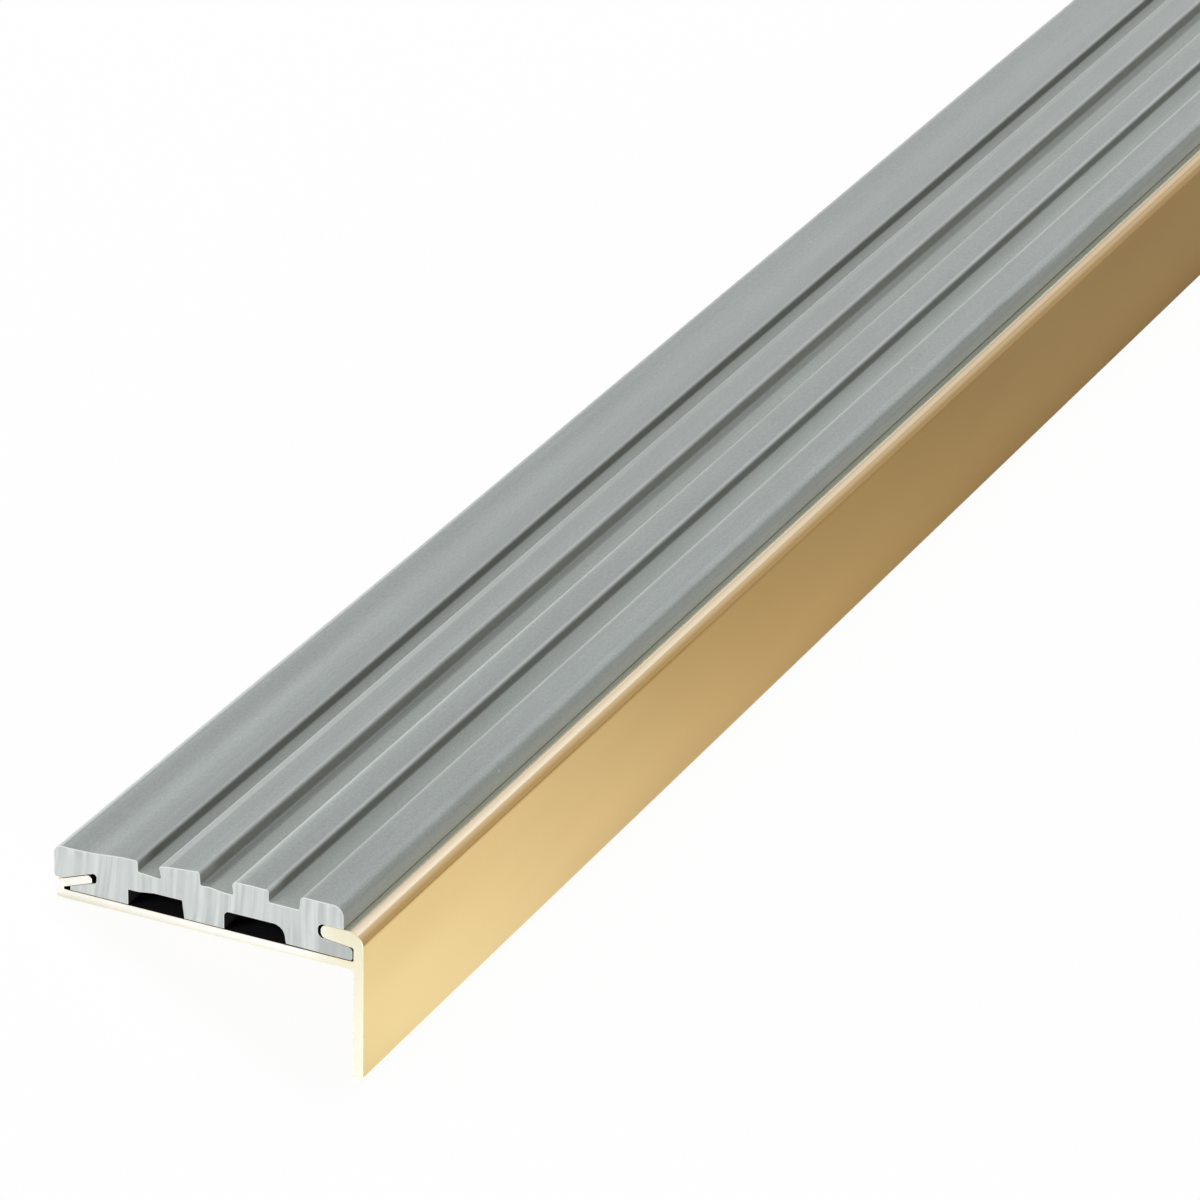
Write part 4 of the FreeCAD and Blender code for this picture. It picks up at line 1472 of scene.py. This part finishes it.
    def underside_corners(self) -> list[Corner]:
        """Corners of the rear slot, the wing in it and the two screw channels, rear to front."""
        carrier, base = self.carrier, self.carrier.plate_top
        lift = self.snap_clearance / math.cos(math.radians(carrier.barb_angle))
        flap = base + self.rear_flap_height
        rise = math.tan(math.radians(carrier.barb_angle))
        mouth = carrier.width - (flap - carrier.leg_depth - carrier.rear_wall_height - lift) / rise
        slot_end = carrier.barb_tip - self.barb_gap
        wing = carrier.barb_tip + self.rear_wing_reach
        (front_start, front_end), (rear_start, rear_end) = self.front_channel, self.rear_channel
        ledge = rear_end - self.rear_channel_ledge_width
        return [
            Corner(carrier.width + self.rear_overhang, flap, self.rear_flap_radius),
            Corner(mouth, flap),
            Corner(slot_end, carrier.barb_top(slot_end) + lift, self.barb_slot_radius),
            Corner(slot_end, carrier.barb_underside(slot_end) - lift, self.barb_slot_radius),
            Corner(wing, carrier.barb_underside(wing) - lift, self.rear_wing_radius),
            self.above(wing, self.foot_gap, self.rear_wing_radius),
            self.above(rear_end, self.foot_gap),
            self.above(rear_end, self.rear_channel_ledge_height),
            self.above(ledge, self.rear_channel_ledge_height),
            self.above(ledge - self.rear_channel_ramp_width, self.channel_height),
            self.above(rear_start + self.channel_lean, self.channel_height),
            self.above(rear_start, self.foot_gap),
            self.above(front_end, self.foot_gap),
            self.above(front_end, self.channel_height, self.channel_rear_radius),
            self.above(front_start + self.channel_lean, self.channel_height, self.channel_front_radius),
            self.above(front_start, self.foot_relief),
            self.above(front_start - self.foot_relief_width, self.foot_gap),
        ]

    def front_corners(self) -> list[Corner]:
        """Corners of the front wing and the slot that grips the lip."""
        carrier = self.carrier
        wing = carrier.leg_thickness + self.wing_gap
        slot_end = carrier.lip_tip + self.lip_gap
        return [
            self.above(wing, self.foot_gap, self.wing_bottom_radius),
            Corner(wing, carrier.lip_underside(wing) - self.snap_clearance, self.wing_top_radius),
            Corner(slot_end, carrier.lip_underside(slot_end) - self.snap_clearance, self.slot_end_radius),
            Corner(slot_end, carrier.lip_top, self.slot_end_radius),
        ]

    def loose(self, place: Vector) -> float:
        """One on the tread's faces and none where the insert is gripped."""
        return clamped((place.y - self.carrier.lip_top + self.grip_depth) / self.grip_fade)

    def depth(self, place: Vector) -> float:
        """One on the groove floors and none at the tops of the ribs."""
        low, high = (self.carrier.plate_top + height for height in (self.rear_floor, self.rear_rib_rear))
        front, rear = self.groove_edges
        if not self.front_rib_setback + front < place.x < self.carrier.width - rear:
            return 0.0
        return clamped((high - self.groove_start - place.y) / (high - low - self.groove_slack))

    def flap(self, place: Vector) -> float:
        """One at the rear top edge and none at the slot's mouth and ahead of the edge."""
        high = place.y - self.carrier.plate_top - self.rear_flap_height
        return clamped((place.x - self.flare_from) / self.flare_across) * clamped(high / self.flare_up)

    def recesses(self) -> list[Recess]:
        """Boxes round the screw channels and the ends of the two slots."""
        base, slack, lip, barb = self.carrier.plate_top, self.recess_slack, self.carrier.lip_tip, self.carrier.barb_tip
        channel_up = (base + self.recess_floor, base + self.channel_height + slack)
        channels = (self.front_channel, self.rear_channel)
        low, high = self.barb_slot_up
        return [
            *(Recess((start - slack, end + slack), channel_up) for start, end in channels),
            Recess((lip - self.lip_slot_front, lip + self.lip_gap + slack),
                   (base + self.lip_slot_floor, self.carrier.lip_top + slack)),
            Recess((barb - self.barb_gap - slack, barb + self.barb_slot_rear), (base + low, base + high)),
        ]

    def build(self, sweep: SweepTree, finishes: Finishes) -> bpy.types.Object:
        """Builds the insert and hands it to the frame.

        Args:
            sweep: The tree that carries a section along the length.
            finishes: The finishes.

        Returns:
            The finished piece.
        """
        corners = self.front_corners() + self.tread_corners() + self.underside_corners()
        item = outline_object("vinyl_tread", Outline(corners), self.loose, self.depth, self.flap)
        half = self.carrier.length / 2
        sweep.run(item, {
            "Length": self.carrier.length * MM, "Steps": self.steps, "End Chamfer": self.end_chamfer * MM,
            "Wander": self.wander * MM, "Wander Run": self.wander_run * MM, "Seed": self.seed,
            "Flare": self.flare * MM, "Flare Run": self.flare_run * MM, "Finish": finishes.vinyl})
        face_outward(item.data)
        dress_faces(item.data, half, self.end_chamfer, finishes.cut_vinyl, finishes.recess_shade, self.recesses())
        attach(item, BODY)
        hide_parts(self.node)
        LOG.info("%s: %d faces", item.name, len(item.data.polygons))
        return item


# ---------------------------------------------------------------- studio


class Aim(Enum):
    """Directions towards the softboxes: turn from the length's far end, and height, in degrees."""

    NEAR_FRONT = (225.0, 8.0)
    NEAR_BACK = (140.0, 8.0)
    OVERHEAD = (45.0, 60.0)
    FAR_TOP = (10.0, 35.0)

    @property
    def towards(self) -> Vector:
        """The direction as a unit vector of the frame."""
        turn, height = (math.radians(angle) for angle in self.value)
        return Vector((math.cos(height) * math.cos(turn), math.cos(height) * math.sin(turn), math.sin(height)))


@dataclass(frozen=True)
class Softbox:
    """A square area lamp, sized and set by the light that it lands on a face square to it."""

    aim: Aim
    side: float
    level: float
    distance: float = 3.0
    target: Triple = (-0.30, 0.0, 0.02)

    def light(self) -> bpy.types.Object:
        """Adds the lamp."""
        name = f"{self.aim.name.lower()}_softbox"
        data = bpy.data.lights.new(name, "AREA")
        data.shape = "SQUARE"
        data.size = self.side
        data.energy = math.pi ** 2 * self.distance ** 2 * self.level
        lamp = new_object(name, data)
        lamp.location = Vector(self.target) + self.aim.towards * self.distance
        lamp.rotation_euler = self.aim.towards.to_track_quat("Z", "Y").to_euler()
        return lamp


@dataclass(frozen=True)
class Viewpoint:
    """The photograph's camera, placed against the installed section in millimetres."""

    lens: float = 206.22728
    film: float = 36.0
    clip: Span = (0.01, 100.0)
    eye: Triple = (-1209.73392, -393.91279, 492.64951)
    right: Triple = (0.43365938, -0.90090974, 0.01735477)
    down: Triple = (-0.38681048, -0.20352008, -0.8994205)
    forward: Triple = (0.81382873, 0.38332912, -0.43673972)

    def camera(self) -> bpy.types.Object:
        """Adds the camera and makes it the scene's own."""
        data = bpy.data.cameras.new("photo_camera")
        data.lens = self.lens
        data.sensor_fit = "HORIZONTAL"
        data.sensor_width = self.film
        data.clip_start, data.clip_end = self.clip
        item = new_object("photo_camera", data)
        axes = [LIE.turned(*self.right), -LIE.turned(*self.down), -LIE.turned(*self.forward)]
        turn = Matrix([[axis[row] for axis in axes] for row in range(3)]).to_4x4()
        item.matrix_world = Matrix.Translation(LIE.point(*self.eye)) @ turn
        bpy.context.scene.camera = item
        return item


@dataclass(frozen=True)
class Pool:
    """A soft round patch of painted light on the floor, in the frame's metres."""

    centre: Triple
    radius: float
    level: float = 1.0

    def on(self, w: Wiring) -> Value:
        """The patch: its level in its middle, and nothing far out."""
        spread = w.vector_math("DISTANCE", w.get("ShaderNodeTexCoord", "Object"), self.centre) / self.radius
        return w.math("EXPONENT", 0.0 - spread * spread) * self.level


@dataclass(frozen=True)
class Studio:
    """Plain pale floor, white surroundings, soft lamps and the camera."""

    floor_half: float = 12.0
    floor_colour: Triple = (0.86, 0.86, 0.86)
    floor_shows: float = 0.94
    floor_white: float = 1.02
    # Painted light that only glossy rays see on the floor: two pools of painted light before the cut end, tinted blue
    # by pool_glow, and a broad painted sheen.
    pool: Pool = Pool((-0.437, -0.033, 0.0), 0.06)
    side_pool: Pool = Pool((-0.354, -0.084, 0.0), 0.057, 0.5)
    pool_glow: Triple = (0.885, 1.28, 2.09)
    sheen: Pool = Pool((-0.38, -0.06, 0.0), 0.15, 0.60)
    backdrop_start: Span = (0.02, 0.08)
    backdrop_level: float = 0.85
    world_level: float = 0.12
    softboxes: tuple[Softbox, ...] = (
        Softbox(Aim.NEAR_FRONT, 1.3, 0.50),
        Softbox(Aim.NEAR_BACK, 1.3, 0.45),
        Softbox(Aim.OVERHEAD, 1.6, 0.53),
        Softbox(Aim.FAR_TOP, 1.7, 0.07),
    )

    def floor(self) -> bpy.types.Object:
        """Adds the floor: white to the eye, pale to the lamps, with the object's shadow.

        Metal sees the lamps' light on it, plus a painted glow that only glossy rays see: two blue-tinted pools of
        painted light before the cut end, a broad painted sheen, and an even glow behind the nosing.
        """
        half = self.floor_half
        corners = [(-half, -half, 0.0), (half, -half, 0.0), (half, half, 0.0), (-half, half, 0.0)]
        mesh = bpy.data.meshes.new("studio_floor")
        mesh.from_pydata(corners, [], [(0, 1, 2, 3)])
        material = bpy.data.materials.new("pale_floor")
        w = Wiring.afresh(material)
        material.cycles.emission_sampling = "NONE"
        paint = w.get("ShaderNodeBsdfDiffuse", 0, {}, {"Color": (*self.floor_colour, 1.0)})
        white = w.get("ShaderNodeEmission", 0, {}, {"Color": WHITE, "Strength": self.floor_white})
        eye = w.seen_by("Camera", "Transmission") * self.floor_shows
        shown = w.get("ShaderNodeMixShader", 0, {}, {0: eye, 1: paint, 2: white})
        near = self.pool.on(w) + self.side_pool.on(w)
        backdrop = w.ease(w.separate(w.get("ShaderNodeTexCoord", "Object"))[1], self.backdrop_start)
        rest = self.sheen.on(w) + backdrop * self.backdrop_level
        glow = w.combine(*(rest + near * share for share in self.pool_glow))
        painted_glow = w.get("ShaderNodeEmission", 0, {}, {"Color": glow, "Strength": w.seen_by("Glossy")})
        both = w.get("ShaderNodeAddShader", 0, {}, {0: shown, 1: painted_glow})
        w.node("ShaderNodeOutputMaterial", {}, {"Surface": both})
        mesh.materials.append(material)
        item = new_object("studio_floor", mesh)
        return item

    def world(self) -> None:
        """Adds the surroundings: white to the eye and to metal, and an even fill for the object."""
        world = bpy.data.worlds.new("studio_surroundings")
        w = Wiring.afresh(world)
        level = self.world_level + w.seen_by("Camera", "Glossy", "Transmission") * (1.0 - self.world_level)
        fill = w.get("ShaderNodeBackground", 0, {}, {"Color": WHITE, "Strength": level})
        w.node("ShaderNodeOutputWorld", {}, {"Surface": fill})
        bpy.context.scene.world = world

    def build(self) -> None:
        """Sets up everything round the object."""
        bpy.context.scene.view_settings.view_transform = "Standard"
        self.floor()
        self.world()
        for softbox in self.softboxes:
            softbox.light()
        Viewpoint().camera()
        LOG.info("studio: floor, surroundings, %d softboxes and the camera", len(self.softboxes))


def main() -> None:
    """Builds the studio and both pieces."""
    logging.basicConfig(level=logging.INFO, format="%(name)s: %(message)s")
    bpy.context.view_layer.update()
    Studio().build()
    finishes = Finishes.make()
    sweep = SweepTree()
    extrusion = NosingExtrusion()
    insert = TreadInsert(carrier=extrusion)
    extrusion.build(sweep, [insert.front_channel, insert.rear_channel], finishes)
    insert.build(sweep, finishes)


if __name__ == "__main__":
    main()
